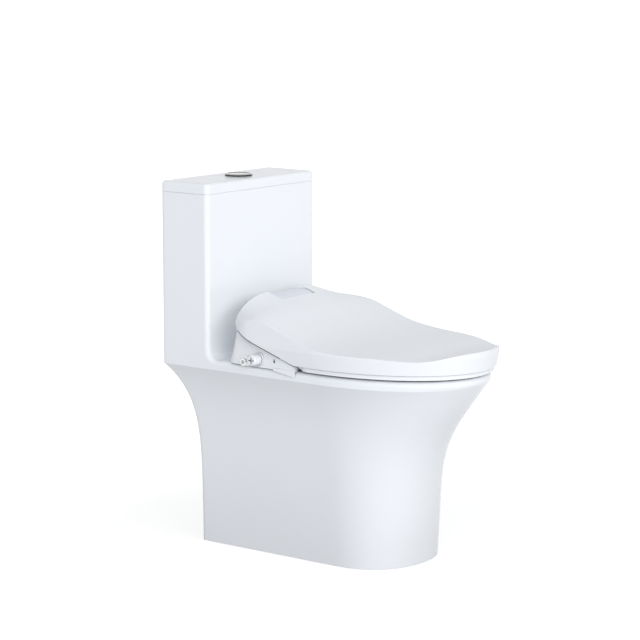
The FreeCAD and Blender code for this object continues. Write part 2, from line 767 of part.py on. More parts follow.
def flush_valve():
    """The flush valve: base with its cage, a lifting canister with the overflow tube, and two seals."""
    base_z = FLOOR_Z + GASKET
    spigot = size("flush_hole") / 2.0 - 1.5
    bore = CANISTER_RADIUS - 3.0
    height = size("cage_height")
    base = turned([(bore, -14.0), (spigot, -14.0), (spigot, 0.0), (CAGE_RADIUS + 3.0, 0.0),
                   (CAGE_RADIUS + 3.0, FLANGE), (bore, FLANGE)], 0.0, VALVE_Y, base_z)
    ring = turned(ring_profile(CANISTER_RADIUS + 1.5, CAGE_RADIUS, height - CAGE_RING, height),
                  0.0, VALVE_Y, base_z)
    head = turned(ring_profile(9.0, CAGE_RADIUS, height, height + CAGE_LID), 0.0, VALVE_Y, base_z)
    legs = []
    for turn in (30.0, 150.0, 270.0):
        reach = CAGE_RADIUS - 3.0
        x = reach * math.cos(math.radians(turn))
        y = reach * math.sin(math.radians(turn))
        legs.append(box(6.0, 6.0, height - FLANGE - 6.0, x - 3.0, VALVE_Y + (y - 3.0), base_z + FLANGE))
    keep(fuse(base, ring, head, *legs), "flush_valve_base")
    gasket = turned(ring_profile(spigot + 0.2, CAGE_RADIUS + 2.0, 0.0, GASKET), 0.0, VALVE_Y, FLOOR_Z)
    keep(gasket, "flush_valve_gasket")
    seat_z = base_z + (FLANGE + SEAL_ROOM)
    top = height - (CAGE_RING + FLANGE + SEAL_ROOM + 0.8) - size("canister_lift")
    wall = CANISTER_RADIUS - 2.5
    profile = [(9.0, 0.0), (CANISTER_RADIUS, 0.0), (CANISTER_RADIUS, top), (wall, top), (wall, 3.0),
               (11.0, 3.0), (11.0, top - 6.0), (9.0, top - 6.0)]
    keep(turned(profile, 0.0, VALVE_Y, seat_z), "flush_canister")
    seal = turned(ring_profile(10.0, CANISTER_RADIUS + 1.5, 0.0, 3.0), 0.0, VALVE_Y, seat_z - 3.0)
    keep(seal, "flush_seal")


def fill_valve():
    """The fill valve: shank through the tank floor, tower, head, float, gasket and lock nut."""
    x = -size("fill_side")
    y = depth(size("fill_depth"))
    shank = size("supply_thread") / 2.0
    neck = shank - 0.3
    under = FLOOR_Z - size("deck_thickness") - 1.0
    nut_height = 10.0
    free_top = under - nut_height - FLOOR_Z
    tower_radius = 14.0
    tower = size("tank_top") - size("fill_headroom") - FILL_HEAD - FLOOR_Z
    profile = [
        (5.0, free_top - size("supply_length")), (shank, free_top - size("supply_length")),
        (shank, free_top), (neck, free_top), (neck, GASKET - 1.0), (20.0, GASKET - 1.0),
        (20.0, FLANGE), (tower_radius, FLANGE), (tower_radius, tower), (5.0, tower),
    ]
    keep(turned(profile, x, y, FLOOR_Z), "fill_valve")
    head_z = FLOOR_Z + tower
    head = turned([(0.0, 0.0), (24.0, 0.0), (24.0, FILL_HEAD - 8.0), (18.0, FILL_HEAD), (0.0, FILL_HEAD)],
                  x, y, head_z)
    keep(head, "fill_valve_head")
    float_z = head_z - size("float_lift") - size("float_height") - 4.0
    ring = ring_profile(tower_radius + 1.5, FLOAT_RADIUS, 0.0, size("float_height"))
    keep(turned(ring, x, y, float_z), "fill_float")
    keep(turned(ring_profile(neck + 0.1, 19.0, 0.0, GASKET - 1.0), x, y, FLOOR_Z), "fill_valve_gasket")
    keep(turned(ring_profile(neck + 0.1, 19.0, 0.0, nut_height), x, y, under - nut_height), "fill_valve_nut")


# ------------------------------------------------------------------ seat unit

# side lines of the unit, each point as (depth, height above the rim)
PARTING = ((353.0, 14.0), (240.0, 52.5), (207.0, 67.0), (196.0, 68.5))      # the lid's lower edge
CHEEK_TOP = ((190.0, 69.0), (186.0, 69.0), (177.0, 61.5), (161.0, 54.5))    # the casing behind the lid
APRON_LOW = ((366.0, 4.0), (228.0, 58.0))       # underside of the seat's rear part
APRON_TOP = ((405.0, 33.0), (235.0, 83.0))      # and its top
CHEEK_INNER = 154.0         # the casing's cheeks behind the lid begin this far from the middle
CHEEK_REACH = 50.0          # and stay within this distance of the hinge axis
UNIT_TOP = 82.0             # height of the unit's side walls before they are trimmed
UNIT_REAR_CORNER = 27.0     # at the deck
UNIT_TOP_CORNER = 20.0      # at the top
SIDE_WALL_INNER = 1.5       # play between the seat's rear part and the unit's side walls
HUMP_FLAT = 66.0            # half the width of the hump's level part
PANEL_GAP = 0.2             # between the hump and the panel on it
PLATE_HALF = 90.0
PLATE_FRONT = 262.0
PLATE_BACK = 180.0
PLATE_THICKNESS = 4.0
BOLT_HEAD = 3.0
PAN_RISE = 9.4              # the unit's bottom rises this far over the mounting plate
PAN_HALF = 95.0
KNOB_REACH = UNIT_HALF + 19.0       # how far the drain knob reaches out from the middle
COLLAR_OUTER = UNIT_HALF - 3.0
INLET_REACH = UNIT_HALF + 12.0
INLET_START = UNIT_HALF - 13.0      # the side fittings begin here, inside the casing
INLET_BORE = 4.6
RELEASE_BACK = 262.0        # release button: forward of the tank's back, and above the rim
RELEASE_RISE = 18.0
RELEASE_RADIUS = 6.1
GLAND_BACK = 222.0          # power gland: likewise
GLAND_RISE = 14.0
GLAND_RADIUS = 6.8
STRAINER_SINK = 1.6         # the strainer lies this far inside the inlet's mouth
STRAINER_THICKNESS = 1.0
STRAINER_HOLE = 0.55
SHELL_BACK = 100.0          # a cutting block's rear, well behind the unit


def unit_wire(height, front_half, back_half, back, corner, inset):
    """The unit's plan at one height: straight front, sides that taper to a rounded back."""
    rear = depth_mm(back + inset)
    front = depth_mm(mm("unit_front") - inset)
    half_rear = back_half - inset
    half_front = front_half - inset
    bend = corner - inset
    edges = [
        Part.makeLine(Vector(-half_front, front, height), Vector(half_front, front, height)),
        Part.makeLine(Vector(half_front, front, height), Vector(half_rear, rear - bend, height)),
        quarter_turn(Vector(half_rear - bend, rear - bend, height), bend, 0.0),
        Part.makeLine(Vector(half_rear - bend, rear, height), Vector(bend - half_rear, rear, height)),
        quarter_turn(Vector(bend - half_rear, rear - bend, height), bend, 90.0),
        Part.makeLine(Vector(-half_rear, rear - bend, height), Vector(-half_front, front, height)),
    ]
    return Part.Wire(Part.__sortEdges__(edges))


def unit_block(inset, bottom):
    """The tapered block from which the casing is cut."""
    half = UNIT_HALF
    back = mm("unit_back")
    low = unit_wire(bottom, half, half - 6.0, back, UNIT_REAR_CORNER, inset)
    high = unit_wire(RIM + UNIT_TOP, half - 2.5, half - 21.0, back + 13.0, UNIT_TOP_CORNER, inset)
    return Part.makeLoft([low, high], True, True)


def hump_solid(inset):
    """The hump round the hinge axis, cut flat at the back."""
    half = mm("hump_half") - inset
    top = mm("hump_radius") - inset
    shoulder = mm("hump_shoulder") - inset
    middle = (HUMP_FLAT + half) / 2.0
    bulge = top - 0.3 * (top - shoulder)

    def spot(x, radius):
        return Vector(x, HINGE_Y, HINGE_Z + radius)

    edges = [
        Part.makeLine(spot(-half, 0), spot(-half, shoulder)),
        Part.Arc(spot(-half, shoulder), spot(-middle, bulge), spot(-HUMP_FLAT, top)).toShape(),
        Part.makeLine(spot(-HUMP_FLAT, top), spot(HUMP_FLAT, top)),
        Part.Arc(spot(HUMP_FLAT, top), spot(middle, bulge), spot(half, shoulder)).toShape(),
        Part.makeLine(spot(half, shoulder), spot(half, 0)),
        Part.makeLine(spot(half, 0), spot(-half, 0)),
    ]
    drum = Part.Face(Part.Wire(edges)).revolve(Vector(0, HINGE_Y, HINGE_Z), Vector(1, 0, 0), 360.0)
    rear = depth_mm(mm("unit_back") + 5.0 + inset)
    return drum.common(block(-FAR, FAR, depth_mm(FAR), rear, RIM, HINGE_Z + FAR))


def over(points, lift):
    """A side line of (depth, above the rim) turned into heights, lifted by some amount."""
    return [(forward, RIM + rise + lift) for forward, rise in points]


def sunk_prism(lower, x_half):
    """Everything below the surface over which the seat's rear part lies."""
    gap = mm("moving_gap") + lower
    slope = (APRON_LOW[1][1] - APRON_LOW[0][1]) / (APRON_LOW[1][0] - APRON_LOW[0][0])
    front_rise = APRON_LOW[0][1] + slope * (mm("unit_front") - APRON_LOW[0][0])
    rear = mm("unit_back") - 10.0
    outline = [(mm("unit_front") + 1.0, RIM - 30.0)]
    outline += [(mm("unit_front") + 1.0, RIM + front_rise - gap)]
    outline += over(APRON_LOW[1:], -gap)
    outline += over([(222.0, 50.0), (rear, 47.0)], -lower)
    outline += [(rear, RIM - 30.0)]
    return side_prism(outline, -x_half, x_half)


def wall_prism(x_low, x_high):
    """The side walls up to just below the lid's lower edge."""
    outline = [(mm("unit_front") + 1.0, RIM - 30.0)] + over(PARTING, -mm("parting_gap"))
    outline += over(CHEEK_TOP, 0.0) + [(CHEEK_TOP[-1][0], RIM - 30.0)]
    return side_prism(outline, x_low, x_high)


def cheeks(bottom):
    """The casing's wall behind the lid's rear corners, kept close to the hinge axis."""
    shell = unit_block(0.0, bottom).cut(unit_block(mm("unit_wall"), bottom - 0.5))
    shell = shell.common(bar_x(CHEEK_REACH, -FAR, FAR, mm("hinge_back"), HINGE_Z))
    tops = wall_prism(-FAR, -CHEEK_INNER).fuse(wall_prism(CHEEK_INNER, FAR))
    return shell.common(tops)


def bar_x(radius, x_low, x_high, forward, height):
    """A round bar along X."""
    start = Vector(x_low, depth_mm(forward), height)
    return Part.makeCylinder(radius, x_high - x_low, start, Vector(1, 0, 0))


def wand_frame():
    """The wand's foremost point at rest and its direction."""
    slope = math.radians(mm("wand_slope"))
    tip = Vector(0, depth_mm(mm("unit_front") - 2.0), RIM - 13.0)
    return tip, Vector(0, -math.cos(slope), -math.sin(slope))


def wand_bar(x, radius, behind, ahead):
    """A round bar on a wand's axis, from behind its tip to ahead of it."""
    tip, forward = wand_frame()
    start = tip - forward * behind
    start.x = x
    return Part.makeCylinder(radius, behind + ahead, start, forward)


def drop_outline(grow):
    """A small drop: a round foot with a pointed top, seen from the left side."""
    radius = 2.6 + grow
    centre_y = depth_mm(300.0)
    centre_z = RIM + 15.5
    tip = Vector(0, centre_y + 1.0, centre_z + 6.0 + grow)
    angle = math.radians(35.0)
    right = Vector(0, centre_y + radius * math.cos(angle), centre_z + radius * math.sin(angle))
    left = Vector(0, centre_y - radius * math.cos(angle), centre_z + radius * math.sin(angle))
    foot = Vector(0, centre_y, centre_z - radius)
    round_foot = Part.Arc(right, foot, left).toShape()
    return Part.Wire([Part.makeLine(tip, right), round_foot, Part.makeLine(left, tip)])


def washlet_cover():
    """The casing of the seat unit: side walls, the sunk top under the seat, and the hump."""
    wall = mm("unit_wall")
    inner_half = APRON_HALF + SIDE_WALL_INNER
    bottom = RIM + mm("unit_lift")
    wide = UNIT_HALF + 20.0
    outer = unit_block(0.0, bottom)
    sides = wall_prism(-wide, -inner_half).fuse(wall_prism(inner_half, wide))
    shape = outer.common(sunk_prism(0.0, wide).fuse(sides)).fuse(hump_solid(0.0))
    above = block(-wide, wide, depth_mm(FAR), depth_mm(SHELL_BACK), bottom, RIM + FAR)
    shape = shape.common(above)
    room = unit_block(wall, bottom - 0.5).common(sunk_prism(wall, inner_half - wall)).fuse(hump_solid(wall))
    shape = shape.cut(room).fuse(cheeks(bottom))
    for side in (-1.0, 1.0):
        low, high = sorted((side * (RIM_HALF + 1.0), side * UNIT_HALF))
        lip = [(300.0, bottom + 3.0), (mm("unit_front"), bottom + 3.0), (mm("unit_front"), RIM - 10.0),
               (300.0, RIM - 2.0)]
        shape = shape.fuse(side_prism(lip, low, high))
    pan_side = PAN_HALF + 3.0
    shape = shape.cut(block(-pan_side, pan_side, depth_mm(PLATE_BACK + 30.0), depth_mm(SHELL_BACK),
                            RIM - 1.0, RIM + PAN_RISE + wall))
    for x in (-mm("wand_spacing") / 2.0, mm("wand_spacing") / 2.0):
        shape = shape.cut(wand_bar(x, mm("wand_width") / 2.0 + 4.0, 60.0, 20.0))
    knob_z = RIM + mm("knob_rise")
    shape = shape.cut(bar_x(14.2, -wide, -150.0, mm("knob_back"), knob_z))
    shape = shape.cut(bar_x(10.0, -wide, -150.0, mm("inlet_back"), RIM + mm("inlet_rise")))
    shape = shape.cut(bar_x(RELEASE_RADIUS + 0.3, 150.0, wide, RELEASE_BACK, RIM + RELEASE_RISE))
    shape = shape.cut(bar_x(GLAND_RADIUS + 0.2, 150.0, wide, GLAND_BACK, RIM + GLAND_RISE))
    shape = shape.cut(bar_x(mm("pin_width") / 2.0, -mm("hump_half") - 1.0, mm("hump_half") + 1.0,
                            mm("hinge_back"), HINGE_Z))
    mark = Part.Face(drop_outline(0.0)).extrude(Vector(-wide, 0, 0))
    shape = shape.cut(mark.common(mark_room(wide)))
    return solid_feature("washlet_cover", shape.removeSplitter())


def mark_room(reach):
    """The space of the drop-shaped inlay: from below the casing's side out to some reach."""
    return block(-reach, 7.0 - UNIT_HALF, depth_mm(mm("unit_front")), depth_mm(SHELL_BACK), RIM, RIM + 60.0)


def drop_mark():
    """A dark drop-shaped inlay beside the drain knob."""
    mark = Part.Face(drop_outline(-0.05)).extrude(Vector(-FAR, 0, 0))
    solid_feature("drop_mark", mark.common(mark_room(UNIT_HALF - 3.1)))


def centre_panel():
    """The panel that fills the notch of the lid: a band round the top of the hump."""
    half = mm("panel_half")
    inner = mm("hump_radius") + PANEL_GAP
    outer = inner + mm("panel_skin")
    band = bar_x(outer, -half, half, mm("hinge_back"), HINGE_Z)
    band = band.cut(bar_x(inner, -half - 1.0, half + 1.0, mm("hinge_back"), HINGE_Z))
    window = block(-half, half, depth_mm(mm("notch_front") + 4.0), depth_mm(mm("unit_back") + 5.0),
                   HINGE_Z, HINGE_Z + 100.0)
    solid_feature("centre_panel", band.common(window))


def washlet_base():
    """The unit's bottom plate with a raised pan that slides over the mounting plate."""
    wall = mm("unit_wall")
    bottom = RIM + mm("unit_lift")
    room = unit_block(wall + 0.2, bottom)
    limit = APRON_HALF - wall - 0.5
    back = depth_mm(SHELL_BACK)
    plate = room.common(block(-limit, limit, depth_mm(FAR), back, bottom, bottom + wall))
    pan_front = PLATE_FRONT + 2.0
    pocket = block(-PAN_HALF, PAN_HALF, depth_mm(pan_front), back, RIM - 1.0, RIM + PAN_RISE)
    shell = block(-PAN_HALF - 2.5, PAN_HALF + 2.5, depth_mm(pan_front + 2.5), back, bottom,
                  RIM + PAN_RISE + 2.5)
    plate = plate.fuse(shell.common(room)).cut(pocket)
    guide_half = mm("wand_spacing") / 2.0 + mm("wand_width") / 2.0 + 5.0
    plate = plate.cut(block(-guide_half, guide_half, depth_mm(FAR), depth_mm(pan_front + 6.0),
                            RIM - 1.0, RIM + 30.0))
    solid_feature("washlet_base", plate)


def mounting_plate():
    """The plate bolted to the deck, with its bolts, bushings and nuts."""
    plate = box(2.0 * PLATE_HALF, PLATE_FRONT - PLATE_BACK, PLATE_THICKNESS,
                -PLATE_HALF, depth(PLATE_FRONT), over_rim(0.0))
    bolt_y = depth(size("bolt_back"))
    under = size("rim_height") - size("deck_thickness")
    shank = 5.0
    holes = []
    bolts = []
    bushings = []
    nuts = []
    for side in (-0.5, 0.5):
        x = side * size("bolt_spacing")
        holes.append(cylinder(shank + 0.3, PLATE_THICKNESS + 2.0, x, bolt_y, over_rim(-1.0)))
        length = size("deck_thickness") + PLATE_THICKNESS + 22.0
        bolts.append(turned([(0.0, -length), (shank, -length), (shank, 0.0), (11.0, 0.0),
                             (9.0, BOLT_HEAD), (0.0, BOLT_HEAD)], x, bolt_y, over_rim(PLATE_THICKNESS)))
        bushings.append(turned(ring_profile(shank + 0.1, size("bolt_hole") / 2.0 - 0.1, 0.0,
                                            size("deck_thickness")), x, bolt_y, under))
        nuts.append(turned(ring_profile(shank + 0.1, 13.0, 0.0, 12.0), x, bolt_y, under - 12.0))
    keep(cut(plate, fuse(*holes)), "mounting_plate")
    keep(group(*bolts), "seat_bolts")
    keep(group(*bushings), "seat_bolt_bushings")
    keep(group(*nuts), "seat_bolt_nuts")


def hinge_parts():
    """Two hinge pins and the two dampers that hold them inside the hump."""
    reach = size("hump_half") + 31.0
    inner = 90.0
    pin = size("pin_width") / 2.0
    hinge_y = depth(size("hinge_back"))
    hinge_z = over_rim(size("hinge_rise"))
    pins = []
    dampers = []
    for side, turn in ((-1.0, TO_LEFT), (1.0, TO_RIGHT)):
        pins.append(cylinder(pin, reach - inner, side * inner, hinge_y, hinge_z, turn))
        length = size("hump_half") - size("unit_wall") - 55.0
        shell = cylinder(9.5, length, side * 55.0, hinge_y, hinge_z, turn)
        bore = cylinder(pin, length, side * inner, hinge_y, hinge_z, turn)
        dampers.append(cut(shell, bore))
    keep(group(*pins), "hinge_pins")
    keep(group(*dampers), "hinge_dampers")


def knob_and_inlet():
    """The drain knob with its collar, the water inlet, the release button and the power gland."""
    knob_y = depth(size("knob_back"))
    knob_z = over_rim(size("knob_rise"))
    collar = turned([(5.2, 0.0), (14.0, 0.0), (14.0, 9.0), (12.5, 10.5), (5.2, 10.5)],
                    -(COLLAR_OUTER - 10.5), knob_y, knob_z, TO_LEFT)
    keep(collar, "drain_collar")
    radius = size("knob_width") / 2.0
    head = KNOB_REACH - COLLAR_OUTER - 1.0
    knob = turned([(0.0, -20.0), (5.0, -20.0), (5.0, 0.0), (radius, 0.0), (radius, head - 3.0),
                   (radius - 1.5, head), (0.0, head)], -(COLLAR_OUTER + 1.0), knob_y, knob_z, TO_LEFT)
    slot_x = -(KNOB_REACH + 1.0)
    arm = 6.5
    slots = fuse(box(3.5, 2.0 * arm, 2.4, slot_x, knob_y - arm, knob_z - 1.2),
                 box(3.5, 2.4, 2.0 * arm, slot_x, knob_y - 1.2, knob_z - arm))
    keep(cut(knob, slots), "drain_knob")
    water_inlet()
    button = turned([(0.0, 0.0), (RELEASE_RADIUS, 0.0), (RELEASE_RADIUS, 9.0), (RELEASE_RADIUS - 0.9, 10.0),
                     (0.0, 10.0)], INLET_START, depth(RELEASE_BACK), over_rim(RELEASE_RISE), TO_RIGHT)
    keep(button, "release_button")
    gland = turned([(3.2, 0.0), (GLAND_RADIUS, 0.0), (GLAND_RADIUS, 10.0), (5.4, 18.0), (3.2, 18.0)],
                   INLET_START, depth(GLAND_BACK), over_rim(GLAND_RISE), TO_RIGHT)
    keep(gland, "power_gland")


def water_inlet():
    """The threaded water inlet on the left and the strainer that sits in its mouth."""
    thread = size("inlet_thread") / 2.0
    length = INLET_REACH - INLET_START
    y = depth(size("inlet_back"))
    z = over_rim(size("inlet_rise"))
    profile = [(INLET_BORE, 0.0), (9.8, 0.0), (9.8, 11.0), (thread, 11.0), (thread, length - 1.0),
               (thread - 1.0, length), (INLET_BORE, length)]
    keep(turned(profile, -INLET_START, y, z, TO_LEFT), "water_inlet")
    strainer = cylinder(INLET_BORE - 0.05, STRAINER_THICKNESS, STRAINER_SINK - INLET_REACH, y, z, TO_LEFT)
    holes = [cylinder(STRAINER_HOLE, STRAINER_THICKNESS + 1.0, STRAINER_SINK - INLET_REACH + 0.5,
                      y + ring * math.cos(turn), z + ring * math.sin(turn), TO_LEFT)
             for ring, turn in strainer_spots()]
    keep(cut(strainer, fuse(*holes)), "inlet_strainer")


def strainer_spots():
    """One hole in the middle and two rings round it: (distance, angle)."""
    spots = [(0.0, 0.0)]
    for ring, count in ((1.6, 6), (3.2, 12)):
        spots += [(ring, 2.0 * math.pi * index / count) for index in range(count)]
    return spots


def wands():
    """Two washing wands with their tips, the guide, the drives and the shield round the tips."""
    radius = mm("wand_width") / 2.0
    tip_length = 12.0
    length = mm("wand_travel") + 27.0
    half_gap = mm("wand_spacing") / 2.0
    for name, side in (("rear_wand", -1.0), ("front_wand", 1.0)):
        x = side * half_gap
        rod = wand_bar(x, radius, length, -tip_length)
        solid_feature(name, rod)
        tip = wand_bar(x, radius, tip_length, 0.0)
        tip = tip.makeChamfer(1.5, [tip.Edges[edge_at_front(tip)]])
        middle, forward = wand_frame()
        spray = middle - forward * (tip_length / 2.0)
        spray.x = x
        tip = tip.cut(Part.makeCylinder(1.6, radius + 1.0, spray, Vector(0, 0, 1)))
        solid_feature(f"{name}_tip", tip)
    play = mm("wand_play")
    tip, forward = wand_frame()
    upward = Vector(0, -forward.z, forward.y) * -1.0
    half_width = half_gap + radius + 3.0
    half_height = radius + 3.0
    guide_length = 68.0
    corner = tip - forward * (guide_length + 14.0) - upward * half_height
    corner.x = -half_width
    points = [corner, corner + Vector(2.0 * half_width, 0, 0),
              corner + Vector(2.0 * half_width, 0, 0) + upward * (2.0 * half_height),
              corner + upward * (2.0 * half_height)]
    guide = Part.Face(Part.makePolygon(points + points[:1])).extrude(forward * guide_length)
    for side in (-1.0, 1.0):
        guide = guide.cut(wand_bar(side * half_gap, radius + play, 200.0, 50.0))
    solid_feature("wand_guide", guide)
    bottom = RIM + mm("unit_lift")
    side = half_gap + radius + 9.0
    front = mm("unit_front") + 4.0
    shield = block(-side, side, depth_mm(front), depth_mm(front - 56.0), RIM - 28.0, bottom)
    shield = shield.cut(block(2.5 - side, side - 2.5, depth_mm(front - 2.5), depth_mm(front - 57.0),
                              RIM - 25.5, bottom + 1.0))
    for sign in (-1.0, 1.0):
        shield = shield.cut(wand_bar(sign * half_gap, radius + 1.0, 10.0, 60.0))
    solid_feature("nozzle_shield", shield)
    drives = [box(18.0, 24.0, 22.0, x, depth(266.0), over_rim(13.0))
              for x in (half_width + 1.0, -half_width - 19.0)]
    keep(group(*drives), "wand_motors")


def edge_at_front(bar):
    """Index of the round edge that lies furthest forward."""
    rounds = [(edge.CenterOfMass.y, index) for index, edge in enumerate(bar.Edges)
              if edge.Length > 20.0 and len(edge.Vertexes) == 1]
    return min(rounds)[1]


def unit_internals():
    """Water heater, valve, filter, control board and fan inside the casing."""
    floor = PAN_RISE + 3.0
    keep(box(60.0, 40.0, 28.0, -112.0, depth(226.0), over_rim(floor)), "water_heater")
    keep(box(36.0, 36.0, 26.0, -152.0, depth(240.0), over_rim(4.0)), "water_valve")
    keep(cylinder(8.5, 38.0, -120.0, depth(size("knob_back")), over_rim(size("knob_rise")), TO_LEFT),
         "water_filter")
    board = box(66.0, 46.0, 1.6, 46.0, depth(232.0), over_rim(floor + 2.0))
    chips = [box(12.0, 10.0, 8.0, x, depth(forward), over_rim(floor + 3.6))
             for x, forward in ((50.0, 226.0), (70.0, 210.0), (92.0, 228.0))]
    keep(fuse(board, *chips), "control_board")
    fan = turned([(0.0, 0.0), (20.0, 0.0), (20.0, 14.0), (9.0, 14.0), (9.0, 10.0), (0.0, 10.0)],
                 122.0, depth(262.0), over_rim(4.0))
    keep(fan, "air_fan")


# ------------------------------------------------------------------ seat

BOSS_WIDTH = 14.0           # the seat's hinge eye along the axis
BOSS_RADIUS = 18.0
EYE_GAP = 1.5
LID_EYE_WIDTH = 10.5
LID_EYE_RADIUS = 9.5
RING_BACK = 356.0           # rear of the ring itself, behind which only the apron goes on
RING_CORNER = 30.0          # rounding of the ring's rear corners
FOIL_EDGE = 4.0             # the heating foil ends this far inside the shell
FOIL_THICKNESS = 0.8


def seat_form(inset, hump_gap):
    """The seat ring with its rear part, or its inside when an inset is given."""
    low = RIM - 10.0
    wire = plan_wire(low, SEAT_HALF - inset, SEAT_HALF - inset, RING_BACK + inset,
                     RING_CORNER - inset, mm("bowl_shoulder"), SEAT_REACH - inset, RIM_POWER)
    ring = Part.Face(wire).extrude(Vector(0, 0, 200.0))
    half = APRON_HALF - inset
    rear = block(-half, half, depth_mm(430.0), depth_mm(APRON_LOW[1][0] + inset), low, low + 200.0)
    top = mm("seat_rise") + mm("seat_thickness")
    ridge = APRON_TOP[1][1] - inset
    outline = [(FAR, RIM + mm("seat_rise")), (APRON_LOW[0][0], RIM + mm("seat_rise")),
               (APRON_LOW[1][0], RIM + APRON_LOW[1][1]), (APRON_LOW[1][0], RIM + ridge + 2.0),
               (APRON_TOP[1][0], RIM + ridge), (APRON_TOP[0][0], RIM + top - inset),
               (FAR, RIM + top - inset)]
    if inset > 0.0:
        outline[:3] = [(FAR, low), (APRON_LOW[0][0], low), (APRON_LOW[1][0], low)]
    form = ring.fuse(rear).common(side_prism(outline, -FAR, FAR))
    form = form.cut(bar_x(mm("hump_radius") + hump_gap + inset, -FAR, FAR, mm("hinge_back"), HINGE_Z))
    panel_reach = mm("hump_radius") + PANEL_GAP + mm("panel_skin")
    panel_side = mm("panel_half") + hump_gap + inset
    form = form.cut(bar_x(panel_reach + hump_gap + inset, -panel_side, panel_side, mm("hinge_back"), HINGE_Z))
    hole = Part.Face(ellipse_wire(low - 1.0, mm("hole_half") + inset, mm("hole_back") - inset,
                                  HOLE_FRONT + inset))
    return form.cut(hole.extrude(Vector(0, 0, 300.0)))


def seat_arms():
    """The two arms from the seat's rear part to the hinge pins."""
    start = mm("hump_half") + EYE_GAP
    low = over([(190.0, 53.0), (228.0, 58.0), (262.0, 47.0)], 0.0)
    high = over([(262.0, 74.0), (228.0, 84.0), (190.0, 89.0)], 0.0)
    arms = []
    for side in (-1.0, 1.0):
        x_low, x_high = sorted((side * start, side * (start + BOSS_WIDTH)))
        arm = side_prism(low + high, x_low, x_high)
        arms.append(arm.fuse(bar_x(BOSS_RADIUS, x_low, x_high, mm("hinge_back"), HINGE_Z)))
    return arms


def apron_low_prism(lift, thickness):
    """A band that follows the seat's underside."""
    rise = mm("seat_rise")
    line = [(FAR, RIM + rise), (APRON_LOW[0][0], RIM + rise), (APRON_LOW[1][0], RIM + APRON_LOW[1][1])]
    low = [(forward, height + lift) for forward, height in line]
    high = [(forward, height + lift + thickness) for forward, height in reversed(line)]
    return side_prism(low + high, -FAR, FAR)


def pin_bore():
    """The bore for the hinge pins, with its running play."""
    return bar_x(mm("pin_width") / 2.0 + mm("pin_play"), -FAR, FAR, mm("hinge_back"), HINGE_Z)


def seat():
    """Upper shell, bottom plate, heating foil and rubber bumpers."""
    wall = mm("seat_wall")
    gap = mm("moving_gap")
    shell = seat_form(0.0, gap).cut(seat_form(wall, gap))
    for arm in seat_arms():
        shell = shell.fuse(arm)
    shell = shell.cut(pin_bore())
    base = seat_form(wall + 0.15, gap).common(apron_low_prism(0.0, wall))
    for arm in seat_arms():
        base = base.cut(arm)
    solid_feature("seat_shell", shell)
    solid_feature("seat_base", base)
    top = RIM + mm("seat_rise") + mm("seat_thickness") - wall - FOIL_EDGE
    layer = block(-FAR, FAR, depth_mm(FAR), depth_mm(APRON_TOP[0][0] + 5.0), top - FOIL_THICKNESS, top)
    foil = seat_form(wall + FOIL_EDGE, gap).common(layer)
    foil.translate(Vector(0, 0, FOIL_EDGE - 0.2))
    solid_feature("seat_heater", foil)
    rest = size("rest_gap")
    height = size("seat_rise") - rest
    tip_pad = SEAT_REACH - 43.0
    spots = ((62.0, tip_pad, 22.0, 10.0), (SEAT_HALF - 33.5, 420.0, 16.0, 22.0))
    bumpers = []
    for x, forward, across, along in spots:
        for side in (-1.0, 1.0):
            bumpers.append(box(across, along, height, side * x - across / 2.0, depth(forward + along / 2.0),
                               over_rim(rest)))
    keep(group(*bumpers), "seat_bumpers")


# ------------------------------------------------------------------ lid

# cross-sections of the lid from front to back: depth, height of the middle above the rim,
# half width, half width of the level part, and how far the shoulders drop
LID_STATIONS = (
    (720.0, 43.0, 232.0, 6.0, 11.0),
    (640.0, 46.0, 232.0, 6.0, 11.0),
    (560.0, 48.3, 232.0, 6.0, 11.0),
    (480.0, 52.0, 231.0, 6.0, 11.5),
    (430.0, 55.8, 230.0, 6.0, 12.0),
    (397.0, 60.5, 229.0, 6.0, 12.5),
    (372.0, 66.0, 228.0, 6.0, 13.0),
    (347.0, 74.5, 226.0, 6.0, 14.0),
    (321.0, 84.5, 219.0, 6.0, 14.2),
    (295.0, 96.0, 208.0, 6.0, 14.8),
    (268.0, 107.5, 197.5, 7.0, 17.0),
    (245.0, 115.0, 189.5, 10.0, 22.0),
    (222.0, 121.5, 185.5, 20.0, 36.0),
    (203.0, 127.5, 176.5, 34.0, 50.0),
    (185.0, 133.0, 164.0, 47.0, 61.0),
    (170.0, 136.0, 149.5, 54.0, 66.0),
)
CREASE_RISE = 44.0          # height of the lid's crease above the rim at the tip
LID_HEEL = ((191.0, 73.0), (184.0, 86.0))   # the lid's lower rear corner is cut back to this line
LID_RIB = ((181.0, 66.0), (181.0, 200.0), (212.0, 200.0), (212.0, 74.0))    # room of the web over an eye


